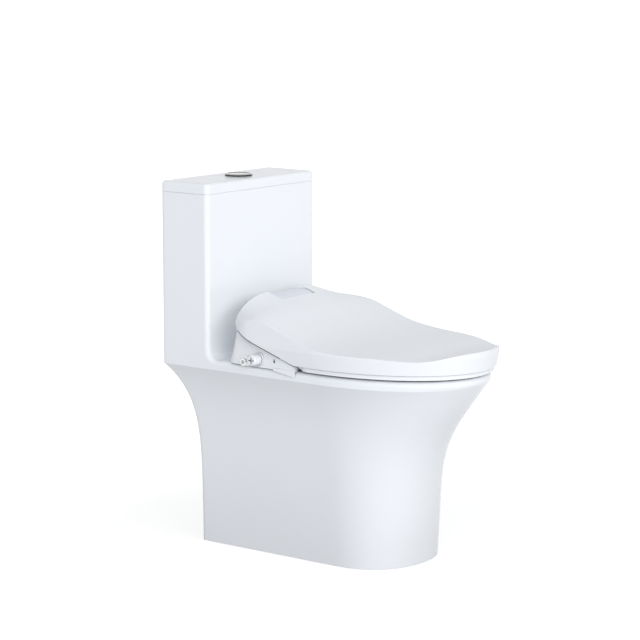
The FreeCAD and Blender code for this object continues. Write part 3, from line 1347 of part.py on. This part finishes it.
def lid_station(forward, rise, half, flat, drop, inset):
    """One cross-section of the lid: level middle, two quarter ellipses and upright sides."""
    y = depth_mm(forward)
    top = RIM + rise - inset
    half = half - inset
    shoulder = top - drop
    low = RIM - 20.0
    right = Part.Ellipse(Vector(half, y, shoulder), Vector(flat, y, top), Vector(flat, y, shoulder)) \
        if half - flat >= drop else \
        Part.Ellipse(Vector(flat, y, top), Vector(half, y, shoulder), Vector(flat, y, shoulder))
    start = right.parameter(Vector(half, y, shoulder))
    end = right.parameter(Vector(flat, y, top))
    low_end, high_end = sorted((start, end))
    if high_end - low_end > math.pi:
        low_end, high_end = high_end, low_end + 2.0 * math.pi
    curve = Part.ArcOfEllipse(right, low_end, high_end)
    right_edge = curve.toShape()
    left_edge = mirrored_x(right_edge)
    edges = [
        Part.makeLine(Vector(-half, y, low), Vector(half, y, low)),
        Part.makeLine(Vector(half, y, low), Vector(half, y, shoulder)),
        right_edge,
        Part.makeLine(Vector(flat, y, top), Vector(-flat, y, top)),
        left_edge,
        Part.makeLine(Vector(-half, y, shoulder), Vector(-half, y, low)),
    ]
    return Part.Wire(Part.__sortEdges__(edges))


def lid_form(inset):
    """The lid's outer form down to below its edge, or its inside when an inset is given."""
    crown = Part.makeLoft([lid_station(*station, inset) for station in LID_STATIONS], True, False)
    wires = []
    lean = mm("lid_lean") / (CREASE_RISE - PARTING[0][1])
    for rise, lean_in in ((0.0, CREASE_RISE * lean), (CREASE_RISE, 0.0), (180.0, 0.0)):
        shrink = inset + lean_in
        wires.append(plan_wire(RIM + rise, LID_HALF - shrink, LID_HALF_BACK - shrink, 150.0, 4.0,
                               mm("bowl_shoulder"), LID_REACH - shrink, RIM_POWER))
    return crown.common(Part.makeLoft(wires, True, True))


def lid():
    """The lid with its hinge eyes, and the bumpers on its underside."""
    inside = lid_form(mm("lid_wall"))
    edge = over([(FAR, PARTING[0][1]), *PARTING, *LID_HEEL, (LID_HEEL[-1][0], FAR), (FAR, FAR)], 0.0)
    outside = lid_form(0.0).common(side_prism(edge, -FAR, FAR))
    outside = outside.common(block(-FAR, FAR, depth_mm(FAR), depth_mm(mm("lid_back")), RIM, RIM + FAR))
    shell = outside.cut(inside)
    notch = mm("notch_half")
    shell = shell.cut(block(-notch, notch, depth_mm(mm("notch_front")), depth_mm(SHELL_BACK), RIM, RIM + FAR))
    eye_start = mm("hump_half") + EYE_GAP + BOSS_WIDTH + EYE_GAP
    rib = over(LID_RIB, 0.0)
    for side in (-1.0, 1.0):
        x_low, x_high = sorted((side * eye_start, side * (eye_start + LID_EYE_WIDTH)))
        web = side_prism(rib, x_low, x_high).common(inside)
        eye = bar_x(LID_EYE_RADIUS, x_low, x_high, mm("hinge_back"), HINGE_Z)
        shell = shell.fuse(web).fuse(eye)
    solid_feature("lid", shell.cut(pin_bore()))
    seat_top = RIM + mm("seat_rise") + mm("seat_thickness") + mm("rest_gap")
    bumpers = []
    for x, forward in ((60.0, SEAT_REACH - 39.0), (SEAT_HALF - 33.5, 460.0)):
        for side in (-1.0, 1.0):
            post = Part.makeCylinder(6.0, 60.0, Vector(side * x, depth_mm(forward), seat_top))
            bumpers.append(post.common(inside))
    solid_feature("lid_bumpers", Part.makeCompound(bumpers))


# ------------------------------------------------------------------ build, check and write

ceramic_body()
tank_lid()
flush_buttons()
flush_valve()
fill_valve()
washlet_cover()
centre_panel()
drop_mark()
washlet_base()
mounting_plate()
hinge_parts()
knob_and_inlet()
wands()
unit_internals()
seat()
lid()

document.recompute()
for thing in document.Objects:
    if "Invalid" in thing.State or "Error" in thing.State:
        raise RuntimeError(f"{thing.Label} failed: {thing.State}")
for node in NODES:
    if node.Shape.isNull() or not node.Shape.isValid() or not node.Shape.Solids:
        raise RuntimeError(f"{node.Label} has no valid solid")

os.makedirs("parts", exist_ok=True)
for node in NODES:
    node.Shape.exportStep(f"parts/{node.Label}.step")
    print(node.Label, len(node.Shape.Solids), round(node.Shape.Volume / 1000.0, 2))
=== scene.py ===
import math

import bmesh
import bpy
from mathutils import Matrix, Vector
from mathutils.bvhtree import BVHTree


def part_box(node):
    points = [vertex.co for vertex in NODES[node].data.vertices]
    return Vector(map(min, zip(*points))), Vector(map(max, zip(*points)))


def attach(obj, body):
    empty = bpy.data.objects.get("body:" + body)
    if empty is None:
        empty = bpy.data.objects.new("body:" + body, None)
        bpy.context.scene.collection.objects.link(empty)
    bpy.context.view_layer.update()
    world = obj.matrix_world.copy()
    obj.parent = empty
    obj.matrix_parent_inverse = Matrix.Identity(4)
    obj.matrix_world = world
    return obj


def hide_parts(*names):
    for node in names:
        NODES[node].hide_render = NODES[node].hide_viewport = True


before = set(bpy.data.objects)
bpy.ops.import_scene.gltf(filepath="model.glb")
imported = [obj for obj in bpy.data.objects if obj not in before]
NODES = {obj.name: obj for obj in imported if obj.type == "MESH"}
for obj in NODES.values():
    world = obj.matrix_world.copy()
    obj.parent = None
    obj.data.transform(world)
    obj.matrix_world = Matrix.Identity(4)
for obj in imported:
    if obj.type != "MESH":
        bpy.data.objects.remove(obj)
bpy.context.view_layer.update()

# Lengths are in metres and angles in degrees, unless a line says otherwise.

# The camera stands to the left of the front, a little above the tank's lid.
CAMERA_AZIMUTH = -52.71
CAMERA_ELEVATION = 9.33
CAMERA_DISTANCE = 4.98667
CAMERA_TARGET = Vector((0.02782, 0.03367, 0.46607))
CAMERA_LENS = 135.0         # in millimetres
CAMERA_SENSOR = 36.0        # in millimetres
CAMERA_REACH = 120.0        # how far the camera sees, past the floor's end

# The water inlet with its G 3/8 thread.
INLET_FLANGE = 0.011        # length of the flange
INLET_CREST = 0.00833       # outer radius of the thread
INLET_BORE = 0.0046
INLET_BREAK = 0.0006        # small bevels at the edges
THREAD_PITCH = 0.001337
THREAD_DEPTH = 0.000856
THREAD_RUNOUT = 0.001       # plain length before and after the thread
THREAD_TIP = 0.0012
TURN_SEGMENTS = 96
SHARP_ANGLE = 38.0

# The painted shadow: a thin dark strip along the lower edge of the lid's rear sides, where the gap to the
# unit is in shade.
SHADOW_LINE_RADIUS = 0.0008
SHADOW_LINE_FRONT = -0.030          # y where it begins, at the front of the seat unit
SHADOW_LINE_BACK = 0.103            # y where it ends, at the lid's rear corner
SHADOW_LINE_STEPS = 48
LID_SIDE = 0.13             # the lid's side walls stand further out than this
SEARCH_OUTSIDE = 0.5        # level rays towards the lid start this far out
SEARCH_BELOW = 0.01         # and are tried from below the lid
SEARCH_ABOVE = 0.02         # up to this far under its top
SEARCH_STEPS = 16

# A pale strip in the seam between the tank and its lid: painted light where the seam is in shade.
TANK_LID_PLATE = 0.0212     # thickness of the tank lid
TANK_SEAM = 0.0008          # height of the seam
STRIP_RADIUS = 0.00036
STRIP_INSET = 0.0008        # middle of the strip behind the tank's faces
FRONT_CORNER = 0.010        # radii of the tank's upright corners
REAR_CORNER = 0.012
CORNER_STEPS = 12

# Edges in the finishes, and painted shade in their hollows.
GLAZE_EDGE = 0.0012         # how far the glaze seems to round an edge
PLASTIC_EDGE = 0.0006
PAINTED_SHADE_REACH = 0.012       # painted shade darkens the plastic where something stands nearer than this
PAINTED_SHADE_DARKEST = 0.03         # share of the tone that the painted shade leaves in the deepest gap

# Light and floor.
LAMP_DISTANCE = 14.0        # far enough that near and far faces get the same light
LAMP_AIM = Vector((0.0, -0.05, 0.4))
WORLD_LIGHT = 0.54
WORLD_COLOUR = (0.95, 0.97, 1.0)
FLOOR_REACH = 60.0          # half the side of the floor
FLOOR_GAP = 0.0004          # the floor lies this far below the object, so that the two don't flicker
FLOOR_GLOW = 0.80           # how bright the floor looks in full shadow
FLOOR_WHITE = 1.02          # and far from the object
SHADOW_TONE = 0.3           # share of the light on the floor that shows
SHADOW_NEAR = 0.45          # the shadow shows in full out to here from the object's middle
SHADOW_FAR = 1.1            # and fades into white by here
BOUNCE_LOW = 0.36           # tone of the floor for the light that it throws back on the object
BOUNCE_FULL = 0.86
BOUNCE_NEAR = 0.40          # the low tone holds up to here
BOUNCE_FAR = 0.75           # and the full one from here on


def rgba(colour):
    """A grey number or (r, g, b) with full opacity."""
    if isinstance(colour, (int, float)):
        return (colour, colour, colour, 1.0)
    return (*colour, 1.0)


def direction(azimuth, elevation):
    """Where a camera or lamp stands as seen from the object; 0, 0 is straight in front."""
    turn = math.radians(azimuth)
    lift = math.radians(elevation)
    return Vector((math.sin(turn) * math.cos(lift), -math.cos(turn) * math.cos(lift), math.sin(lift)))


def add_object(name, data):
    thing = bpy.data.objects.new(name, data)
    bpy.context.scene.collection.objects.link(thing)
    return thing


# ------------------------------------------------------------------ shader helpers

class Shader:
    """A material's node tree with short calls for the nodes that are used here."""

    def __init__(self, name):
        self.material = bpy.data.materials.new(name)
        self.material.use_nodes = True
        self.tree = self.material.node_tree
        self.nodes = self.tree.nodes
        self.nodes.clear()
        self.output = self.nodes.new("ShaderNodeOutputMaterial")
        self.surface = self.nodes.new("ShaderNodeBsdfPrincipled")
        self.link(self.surface.outputs["BSDF"], self.output.inputs["Surface"])

    def link(self, source, target):
        self.tree.links.new(source, target)

    def set(self, **values):
        """Fixed values on the surface's own sockets; an underscore stands for a space."""
        for name, value in values.items():
            self.surface.inputs[name.replace("_", " ")].default_value = value

    def feed(self, **sources):
        """Links into the surface's own sockets; an underscore stands for a space."""
        for name, source in sources.items():
            self.link(source, self.surface.inputs[name.replace("_", " ")])

    def place(self, stretch=(1.0, 1.0, 1.0)):
        """Object coordinates in metres, stretched along the axes."""
        coordinates = self.nodes.new("ShaderNodeTexCoord")
        mapping = self.nodes.new("ShaderNodeMapping")
        mapping.inputs["Scale"].default_value = stretch
        self.link(coordinates.outputs["Object"], mapping.inputs["Vector"])
        return mapping.outputs["Vector"]

    def noise(self, scale, detail=2.0, roughness=0.5, stretch=(1.0, 1.0, 1.0)):
        texture = self.nodes.new("ShaderNodeTexNoise")
        texture.inputs["Scale"].default_value = scale
        texture.inputs["Detail"].default_value = detail
        texture.inputs["Roughness"].default_value = roughness
        self.link(self.place(stretch), texture.inputs["Vector"])
        return texture.outputs["Fac"]

    def ramp(self, source, low, high, start=0.3, end=0.7):
        """A colour ramp from low to high; grey numbers or (r, g, b)."""
        ramp = self.nodes.new("ShaderNodeValToRGB")
        ramp.color_ramp.elements[0].position = start
        ramp.color_ramp.elements[1].position = end
        ramp.color_ramp.elements[0].color = rgba(low)
        ramp.color_ramp.elements[1].color = rgba(high)
        self.link(source, ramp.inputs["Fac"])
        return ramp.outputs["Color"]

    def fade(self, source, start, end, low, high):
        """A smooth change from low to high while the source goes from start to end."""
        step = self.nodes.new("ShaderNodeMapRange")
        step.interpolation_type = "SMOOTHSTEP"
        step.inputs["From Min"].default_value = start
        step.inputs["From Max"].default_value = end
        step.inputs["To Min"].default_value = low
        step.inputs["To Max"].default_value = high
        self.link(source, step.inputs["Value"])
        return step.outputs["Result"]

    def bump(self, source, height, strength, under=None):
        """A bump whose full height is given in metres, on top of another normal."""
        bump = self.nodes.new("ShaderNodeBump")
        bump.inputs["Strength"].default_value = strength
        bump.inputs["Distance"].default_value = height
        self.link(source, bump.inputs["Height"])
        if under is not None:
            self.link(under, bump.inputs["Normal"])
        return bump.outputs["Normal"]

    def soft_edges(self, radius):
        """A normal that rounds sharp edges by a small radius."""
        bevel = self.nodes.new("ShaderNodeBevel")
        bevel.samples = 6
        bevel.inputs["Radius"].default_value = radius
        return bevel.outputs["Normal"]

    def painted_crevice_shade(self, tone):
        """The tone with painted shade: darkened in narrow gaps, where something stands near."""
        near = self.nodes.new("ShaderNodeAmbientOcclusion")
        near.samples = 8
        near.inputs["Distance"].default_value = PAINTED_SHADE_REACH
        # painted shade: the occlusion ramp darkens the colour in gaps
        shade = self.ramp(near.outputs["AO"], PAINTED_SHADE_DARKEST, 1.0, start=0.25)
        mix = self.nodes.new("ShaderNodeMix")
        mix.data_type = "RGBA"
        mix.blend_type = "MULTIPLY"
        mix.inputs["Factor"].default_value = 1.0
        self.link(tone, mix.inputs["A"])
        self.link(shade, mix.inputs["B"])
        return mix.outputs["Result"]


# ------------------------------------------------------------------ materials

def glazed_ceramic():
    """White vitreous glaze: a clear gloss over a body whose tone drifts very slightly."""
    shader = Shader("glazed_ceramic")
    shader.set(IOR=1.5, Specular_IOR_Level=0.42)
    tone = shader.ramp(shader.noise(3.5, detail=3.0), (0.862, 0.884, 0.916), (0.878, 0.900, 0.932))
    gloss = shader.ramp(shader.noise(26.0, detail=4.0), 0.18, 0.25)
    waves = shader.bump(shader.noise(9.0, detail=1.0, roughness=0.3), height=0.00008, strength=0.5,
                        under=shader.soft_edges(GLAZE_EDGE))
    pores = shader.bump(shader.noise(900.0, detail=1.0, roughness=0.4), height=0.000006, strength=0.3,
                        under=waves)
    shader.feed(Base_Color=tone, Roughness=gloss, Normal=pores)
    return shader.material


def moulded_plastic(name, low, high, gloss_low, gloss_high, grain=1400.0, grain_height=0.000006):
    """Injection-moulded plastic with a fine texture, slight unevenness of gloss, and painted shade in its
    gaps.
    """
    shader = Shader(name)
    shader.set(IOR=1.46, Specular_IOR_Level=0.4)
    # painted shade: the colour is darkened wherever the plastic stands in a gap or hollow
    tone = shader.painted_crevice_shade(shader.ramp(shader.noise(9.0, detail=3.0), low, high))
    gloss = shader.ramp(shader.noise(40.0, detail=3.0), gloss_low, gloss_high)
    sink = shader.bump(shader.noise(12.0, detail=1.0, roughness=0.3), height=0.00004, strength=0.4,
                       under=shader.soft_edges(PLASTIC_EDGE))
    fine = shader.bump(shader.noise(grain, roughness=0.6), height=grain_height, strength=0.4, under=sink)
    shader.feed(Base_Color=tone, Roughness=gloss, Normal=fine)
    return shader.material


def polished_metal(name, low, high, rough_low, rough_high, stretch=(1.0, 1.0, 1.0)):
    """Plated or stainless metal with faint marks, which a stretch sets along one direction."""
    shader = Shader(name)
    shader.set(Metallic=1.0)
    tone = shader.ramp(shader.noise(30.0), low, high)
    marks = shader.noise(180.0, detail=4.0, roughness=0.6, stretch=stretch)
    gloss = shader.ramp(marks, rough_low, rough_high)
    shader.feed(Base_Color=tone, Roughness=gloss, Normal=shader.bump(marks, height=0.000008, strength=0.4))
    return shader.material


def chrome_with_painted_reflection():
    """Chrome with a painted reflection: its colour is bright on the level faces and dark on the upright
    ones, as a white room would mirror in it.
    """
    shader = Shader("chrome_with_painted_reflection")
    shader.set(Metallic=1.0)
    faces = shader.nodes.new("ShaderNodeNewGeometry")
    parts = shader.nodes.new("ShaderNodeSeparateXYZ")
    shader.link(faces.outputs["Normal"], parts.inputs[0])
    # painted reflection: the colour brightens as the face turns upwards
    tone = shader.ramp(parts.outputs["Z"], 0.05, 0.52, start=0.15, end=0.97)
    marks = shader.noise(220.0, detail=4.0, roughness=0.6)
    gloss = shader.ramp(marks, 0.10, 0.17)
    shader.feed(Base_Color=tone, Roughness=gloss, Normal=shader.bump(marks, height=0.000006, strength=0.4))
    return shader.material


def soft_rubber(name, low, high):
    """Matt rubber or silicone with a fine grain."""
    shader = Shader(name)
    shader.set(IOR=1.5)
    tone = shader.ramp(shader.noise(60.0, detail=3.0), low, high)
    gloss = shader.ramp(shader.noise(120.0, detail=3.0), 0.55, 0.75)
    shader.feed(Base_Color=tone, Roughness=gloss,
                Normal=shader.bump(shader.noise(1600.0), height=0.00002, strength=0.5))
    return shader.material


def board_finish():
    """Green circuit board with fine paler spots."""
    shader = Shader("circuit_board")
    shader.set(IOR=1.5, Roughness=0.4)
    cells = shader.nodes.new("ShaderNodeTexVoronoi")
    cells.inputs["Scale"].default_value = 260.0
    shader.link(shader.place(), cells.inputs["Vector"])
    tone = shader.ramp(cells.outputs["Distance"], (0.02, 0.12, 0.06), (0.05, 0.22, 0.11), start=0.2, end=0.6)
    shader.feed(Base_Color=tone)
    return shader.material


def apply_material(material, *names):
    for name in names:
        mesh = NODES[name].data
        mesh.materials.clear()
        mesh.materials.append(material)


def dress_plastics():
    shell = moulded_plastic("white_shell", (0.868, 0.886, 0.916), (0.882, 0.900, 0.930), 0.3, 0.38)
    apply_material(shell, "lid", "seat_shell", "washlet_cover", "seat_base", "drain_knob", "drain_collar",
                   "rear_wand_tip", "front_wand_tip", "release_button")
    panel = moulded_plastic("centre_panel", (0.755, 0.785, 0.845), (0.785, 0.815, 0.875), 0.3, 0.4)
    apply_material(panel, "centre_panel")
    inner = moulded_plastic("white_inner", (0.74, 0.76, 0.78), (0.79, 0.80, 0.82), 0.38, 0.5)
    apply_material(inner, "washlet_base", "wand_guide", "nozzle_shield", "bezel_nut", "full_flush_rod",
                   "half_flush_rod", "flush_valve_base", "flush_canister", "fill_valve", "fill_valve_head",
                   "fill_float", "fill_valve_nut", "power_gland", "water_valve", "water_heater", "air_fan",
                   "seat_bolt_nuts")
    dark = moulded_plastic("dark_plastic", (0.035, 0.037, 0.04), (0.05, 0.052, 0.056), 0.4, 0.55)
    apply_material(dark, "hinge_dampers", "wand_motors")
    mark = moulded_plastic("mark", (0.10, 0.14, 0.19), (0.13, 0.17, 0.22), 0.3, 0.4)
    apply_material(mark, "drop_mark")
    blue = moulded_plastic("filter_mesh", (0.10, 0.22, 0.38), (0.16, 0.28, 0.44), 0.45, 0.6,
                           grain=2600.0, grain_height=0.00005)
    apply_material(blue, "water_filter")


def dress_metals():
    # the flush buttons' chrome carries a painted reflection
    apply_material(chrome_with_painted_reflection(), "flush_bezel", "full_flush_button", "half_flush_button")
    steel = polished_metal("stainless", (0.56, 0.57, 0.58), (0.64, 0.65, 0.66), 0.22, 0.34,
                           stretch=(1.0, 14.0, 1.0))
    apply_material(steel, "mounting_plate", "seat_bolts", "hinge_pins", "rear_wand", "front_wand",
                   "inlet_strainer")
    brass = polished_metal("plated_brass", (0.80, 0.80, 0.80), (0.86, 0.86, 0.86), 0.25, 0.35)
    apply_material(brass, "water_inlet")
    threaded_inlet(brass)
    foil = polished_metal("foil", (0.70, 0.70, 0.71), (0.78, 0.78, 0.79), 0.25, 0.45)
    apply_material(foil, "seat_heater")


def dress_nodes():
    """Every node of the frame gets its finish, and the scene's own pieces come with theirs."""
    apply_material(glazed_ceramic(), "ceramic_body", "tank_lid")
    dress_plastics()
    dress_metals()
    rubber = soft_rubber("pale_rubber", (0.52, 0.53, 0.55), (0.60, 0.61, 0.63))
    apply_material(rubber, "tank_lid_pads", "flush_valve_gasket", "flush_seal", "fill_valve_gasket",
                   "seat_bumpers", "lid_bumpers", "seat_bolt_bushings")
    apply_material(board_finish(), "control_board")
    # painted light: a pale strip fills the shade of the tank lid's seam
    seam_painted_light_strip(soft_rubber("painted_seam_light", (0.84, 0.85, 0.87), (0.88, 0.89, 0.91)))
    # painted shadow: a dark strip where the gap under the lid is in shade
    lid_painted_shadow_line(soft_rubber("painted_gap_shadow", (0.028, 0.030, 0.033), (0.045, 0.047, 0.050)))


# ------------------------------------------------------------------ the inlet's thread

def turned_mesh(name, profile, start):
    """A closed (along, radius) profile turned round a line that runs to the left from start."""
    form = bmesh.new()
    rings = []
    for along, radius in profile:
        ring = []
        for step in range(TURN_SEGMENTS):
            turn = 2.0 * math.pi * step / TURN_SEGMENTS
            offset = Vector((-along, radius * math.cos(turn), radius * math.sin(turn)))
            ring.append(form.verts.new(start + offset))
        rings.append(ring)
    for ring, after in zip(rings, rings[1:] + rings[:1]):
        for step in range(TURN_SEGMENTS):
            following = (step + 1) % TURN_SEGMENTS
            form.faces.new((ring[step], ring[following], after[following], after[step]))
    bmesh.ops.recalc_face_normals(form, faces=form.faces)
    mesh = bpy.data.meshes.new(name)
    form.to_mesh(mesh)
    form.free()
    mesh.shade_smooth()
    mesh.set_sharp_from_angle(angle=math.radians(SHARP_ANGLE))
    return add_object(name, mesh)


def thread_points(start, end):
    """The ridges of the pipe thread between two places along the line."""
    root = INLET_CREST - THREAD_DEPTH
    points = []
    for turn in range(int((end - start) / THREAD_PITCH)):
        foot = start + turn * THREAD_PITCH
        for share, radius in ((0.0, root), (0.15, root), (0.5, INLET_CREST), (0.65, INLET_CREST)):
            points.append((foot + share * THREAD_PITCH, radius))
    return points


def threaded_inlet(finish):
    """The water inlet with its thread cut, in the place of the plain one."""
    low, high = (Vector(corner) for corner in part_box("water_inlet"))
    length = high.x - low.x
    flange = (high.z - low.z) / 2.0
    root = INLET_CREST - THREAD_DEPTH
    start = Vector((high.x, (low.y + high.y) / 2.0, (low.z + high.z) / 2.0))
    profile = [(0.0, flange - INLET_BREAK), (INLET_BREAK, flange), (INLET_FLANGE - INLET_BREAK, flange),
               (INLET_FLANGE, flange - INLET_BREAK), (INLET_FLANGE, root)]
    profile += thread_points(INLET_FLANGE + THREAD_RUNOUT, length - THREAD_TIP)
    profile += [(length - THREAD_RUNOUT, root), (length, root - INLET_BREAK),
                (length, INLET_BORE), (0.0, INLET_BORE)]
    piece = turned_mesh("inlet_with_thread", profile, start)
    piece.data.materials.append(finish)
    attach(piece, "seat_unit")
    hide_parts("water_inlet")


# ------------------------------------------------------------------ the painted shadow under the lid and the painted light in the tank's seam

def round_strip(name, radius, paths, closed, finish):
    """A thin round strip along each path of points."""
    curve = bpy.data.curves.new(name, "CURVE")
    curve.dimensions = "3D"
    curve.bevel_depth = radius
    curve.bevel_resolution = 3
    curve.use_fill_caps = not closed
    for path in paths:
        spline = curve.splines.new("POLY")
        spline.use_cyclic_u = closed
        spline.points.add(len(path) - 1)
        for point, place in zip(spline.points, path):
            point.co = (*place, 1.0)
    curve.materials.append(finish)
    return add_object(name, curve)


def lower_corner(walls, side, y, low, high):
    """Where the lid's side wall ends at this y: the lowest point that a level ray still meets."""
    corner = None
    for _ in range(SEARCH_STEPS):
        middle = (low + high) / 2.0
        hit = walls.ray_cast(Vector((side * SEARCH_OUTSIDE, y, middle)), Vector((-side, 0.0, 0.0)))[0]
        if hit is not None and hit.x * side > LID_SIDE:
            corner, high = hit, middle
        else:
            low = middle
    return corner


def lid_painted_shadow_line(finish):
    """The painted shadow between the lid and the unit: a thin dark strip on the lower edge of the lid, where
    the gap is in shade.
    """
    walls = BVHTree.FromObject(NODES["lid"], bpy.context.evaluated_depsgraph_get())
    low, high = (corner[2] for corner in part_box("lid"))
    places = [SHADOW_LINE_FRONT + (SHADOW_LINE_BACK - SHADOW_LINE_FRONT) * step / SHADOW_LINE_STEPS for step in range(SHADOW_LINE_STEPS + 1)]
    paths = []
    for side in (-1.0, 1.0):
        corners = [lower_corner(walls, side, y, low - SEARCH_BELOW, high - SEARCH_ABOVE) for y in places]
        paths.append([corner for corner in corners if corner is not None])
    piece = round_strip("lid_painted_shadow_line", SHADOW_LINE_RADIUS, paths, False, finish)
    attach(piece, "seat_lid")


def corner_arc(x, y, radius, first):
    """A quarter turn about a middle, from an angle on."""
    turns = [math.radians(first + 90.0 * step / CORNER_STEPS) for step in range(CORNER_STEPS + 1)]
    return [(x + radius * math.cos(turn), y + radius * math.sin(turn)) for turn in turns]


def seam_painted_light_strip(finish):
    """A pale strip that fills the seam under the tank lid, a little behind the faces all round: painted
    light in place of the seam's shade.
    """
    low, high = (Vector(corner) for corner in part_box("tank_lid"))
    seam = high.z - TANK_LID_PLATE - TANK_SEAM / 2.0
    outline = (corner_arc(high.x - REAR_CORNER, high.y - REAR_CORNER, REAR_CORNER - STRIP_INSET, 0.0)
               + corner_arc(low.x + REAR_CORNER, high.y - REAR_CORNER, REAR_CORNER - STRIP_INSET, 90.0)
               + corner_arc(low.x + FRONT_CORNER, low.y + FRONT_CORNER, FRONT_CORNER - STRIP_INSET, 180.0)
               + corner_arc(high.x - FRONT_CORNER, low.y + FRONT_CORNER, FRONT_CORNER - STRIP_INSET, 270.0))
    piece = round_strip("tank_seam_painted_light", STRIP_RADIUS, [[(x, y, seam) for x, y in outline]], True, finish)
    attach(piece, "base")


# ------------------------------------------------------------------ camera, light and floor

def add_camera():
    back = direction(CAMERA_AZIMUTH, CAMERA_ELEVATION)
    data = bpy.data.cameras.new("camera")
    data.lens = CAMERA_LENS
    data.sensor_width = CAMERA_SENSOR
    data.clip_end = CAMERA_REACH
    camera = add_object("camera", data)
    camera.location = CAMERA_TARGET + back * CAMERA_DISTANCE
    camera.rotation_euler = (-back).to_track_quat("-Z", "Y").to_euler()
    bpy.context.scene.camera = camera


def add_softbox(name, azimuth, elevation, width, height, light, colour):
    """A far softbox; light is how much of its own white a matt face turned to it gives back."""
    towards = direction(azimuth, elevation)
    data = bpy.data.lights.new(name, "AREA")
    data.shape = "RECTANGLE"
    data.size = width
    data.size_y = height
    data.energy = light * (math.pi * LAMP_DISTANCE) ** 2
    data.color = colour
    lamp = add_object(name, data)
    lamp.location = LAMP_AIM + towards * LAMP_DISTANCE
    lamp.rotation_euler = (-towards).to_track_quat("-Z", "Y").to_euler()
    lamp.visible_glossy = False     # polished faces mirror the white background instead of a lamp


def add_lights():
    """A low softbox in front, somewhat from the left, and a weaker one further round to the left."""
    add_softbox("key_front", azimuth=-20.0, elevation=17.0, width=9.0, height=6.0, light=0.40,
                colour=(1.0, 0.998, 0.995))
    add_softbox("fill_left", azimuth=-60.0, elevation=17.0, width=9.0, height=6.0, light=0.27,
                colour=(0.97, 0.983, 1.0))


def see_through_rays(tree):
    """1 where a camera, mirror or glass ray looks, so that the background shows as plain white there."""
    rays = tree.nodes.new("ShaderNodeLightPath")
    either = tree.nodes.new("ShaderNodeMath")
    either.operation = "MAXIMUM"
    tree.links.new(rays.outputs["Is Camera Ray"], either.inputs[0])
    tree.links.new(rays.outputs["Is Glossy Ray"], either.inputs[1])
    all_rays = tree.nodes.new("ShaderNodeMath")
    all_rays.operation = "MAXIMUM"
    tree.links.new(either.outputs[0], all_rays.inputs[0])
    tree.links.new(rays.outputs["Is Transmission Ray"], all_rays.inputs[1])
    return all_rays.outputs[0]


def add_world():
    """Even light from all sides; rays that look at it see plain white."""
    world = bpy.data.worlds.new("world")
    world.use_nodes = True
    tree = world.node_tree
    tree.nodes.clear()
    output = tree.nodes.new("ShaderNodeOutputWorld")
    light = tree.nodes.new("ShaderNodeBackground")
    light.inputs["Color"].default_value = rgba(WORLD_COLOUR)
    light.inputs["Strength"].default_value = WORLD_LIGHT
    seen = tree.nodes.new("ShaderNodeBackground")
    seen.inputs["Color"].default_value = rgba(1.0)
    seen.inputs["Strength"].default_value = 1.0
    mix = tree.nodes.new("ShaderNodeMixShader")
    tree.links.new(see_through_rays(tree), mix.inputs["Fac"])
    tree.links.new(light.outputs[0], mix.inputs[1])
    tree.links.new(seen.outputs[0], mix.inputs[2])
    tree.links.new(mix.outputs[0], output.inputs["Surface"])
    bpy.context.scene.world = world


def floor_finish():
    """Pale matt floor; looked at, it shows the object's shadow near it and plain white further off."""
    shader = Shader("floor")
    shader.set(Roughness=0.9, Specular_IOR_Level=0.0)
    distance = shader.nodes.new("ShaderNodeVectorMath")
    distance.operation = "LENGTH"
    shader.link(shader.place(), distance.inputs[0])
    away = distance.outputs["Value"]
    shader.feed(Base_Color=shader.fade(away, BOUNCE_NEAR, BOUNCE_FAR, BOUNCE_LOW, BOUNCE_FULL))
    shadow = shader.nodes.new("ShaderNodeBsdfDiffuse")
    shadow.inputs["Color"].default_value = rgba(SHADOW_TONE)
    glow = shader.nodes.new("ShaderNodeEmission")
    glow.inputs["Color"].default_value = rgba(1.0)
    shader.link(shader.fade(away, SHADOW_NEAR, SHADOW_FAR, FLOOR_GLOW, FLOOR_WHITE), glow.inputs["Strength"])
    seen = shader.nodes.new("ShaderNodeAddShader")
    shader.link(shadow.outputs[0], seen.inputs[0])
    shader.link(glow.outputs[0], seen.inputs[1])
    mix = shader.nodes.new("ShaderNodeMixShader")
    shader.link(see_through_rays(shader.tree), mix.inputs["Fac"])
    shader.link(shader.surface.outputs["BSDF"], mix.inputs[1])
    shader.link(seen.outputs[0], mix.inputs[2])
    shader.link(mix.outputs[0], shader.output.inputs["Surface"])
    return shader.material


def add_floor():
    mesh = bpy.data.meshes.new("floor")
    corners = [(-FLOOR_REACH, -FLOOR_REACH, 0.0), (FLOOR_REACH, -FLOOR_REACH, 0.0),
               (FLOOR_REACH, FLOOR_REACH, 0.0), (-FLOOR_REACH, FLOOR_REACH, 0.0)]
    mesh.from_pydata(corners, [], [(0, 1, 2, 3)])
    mesh.materials.append(floor_finish())
    floor = add_object("floor", mesh)
    floor.location.z = -FLOOR_GAP


dress_nodes()
add_camera()
add_lights()
add_world()
add_floor()
bpy.context.scene.view_settings.view_transform = "Standard"
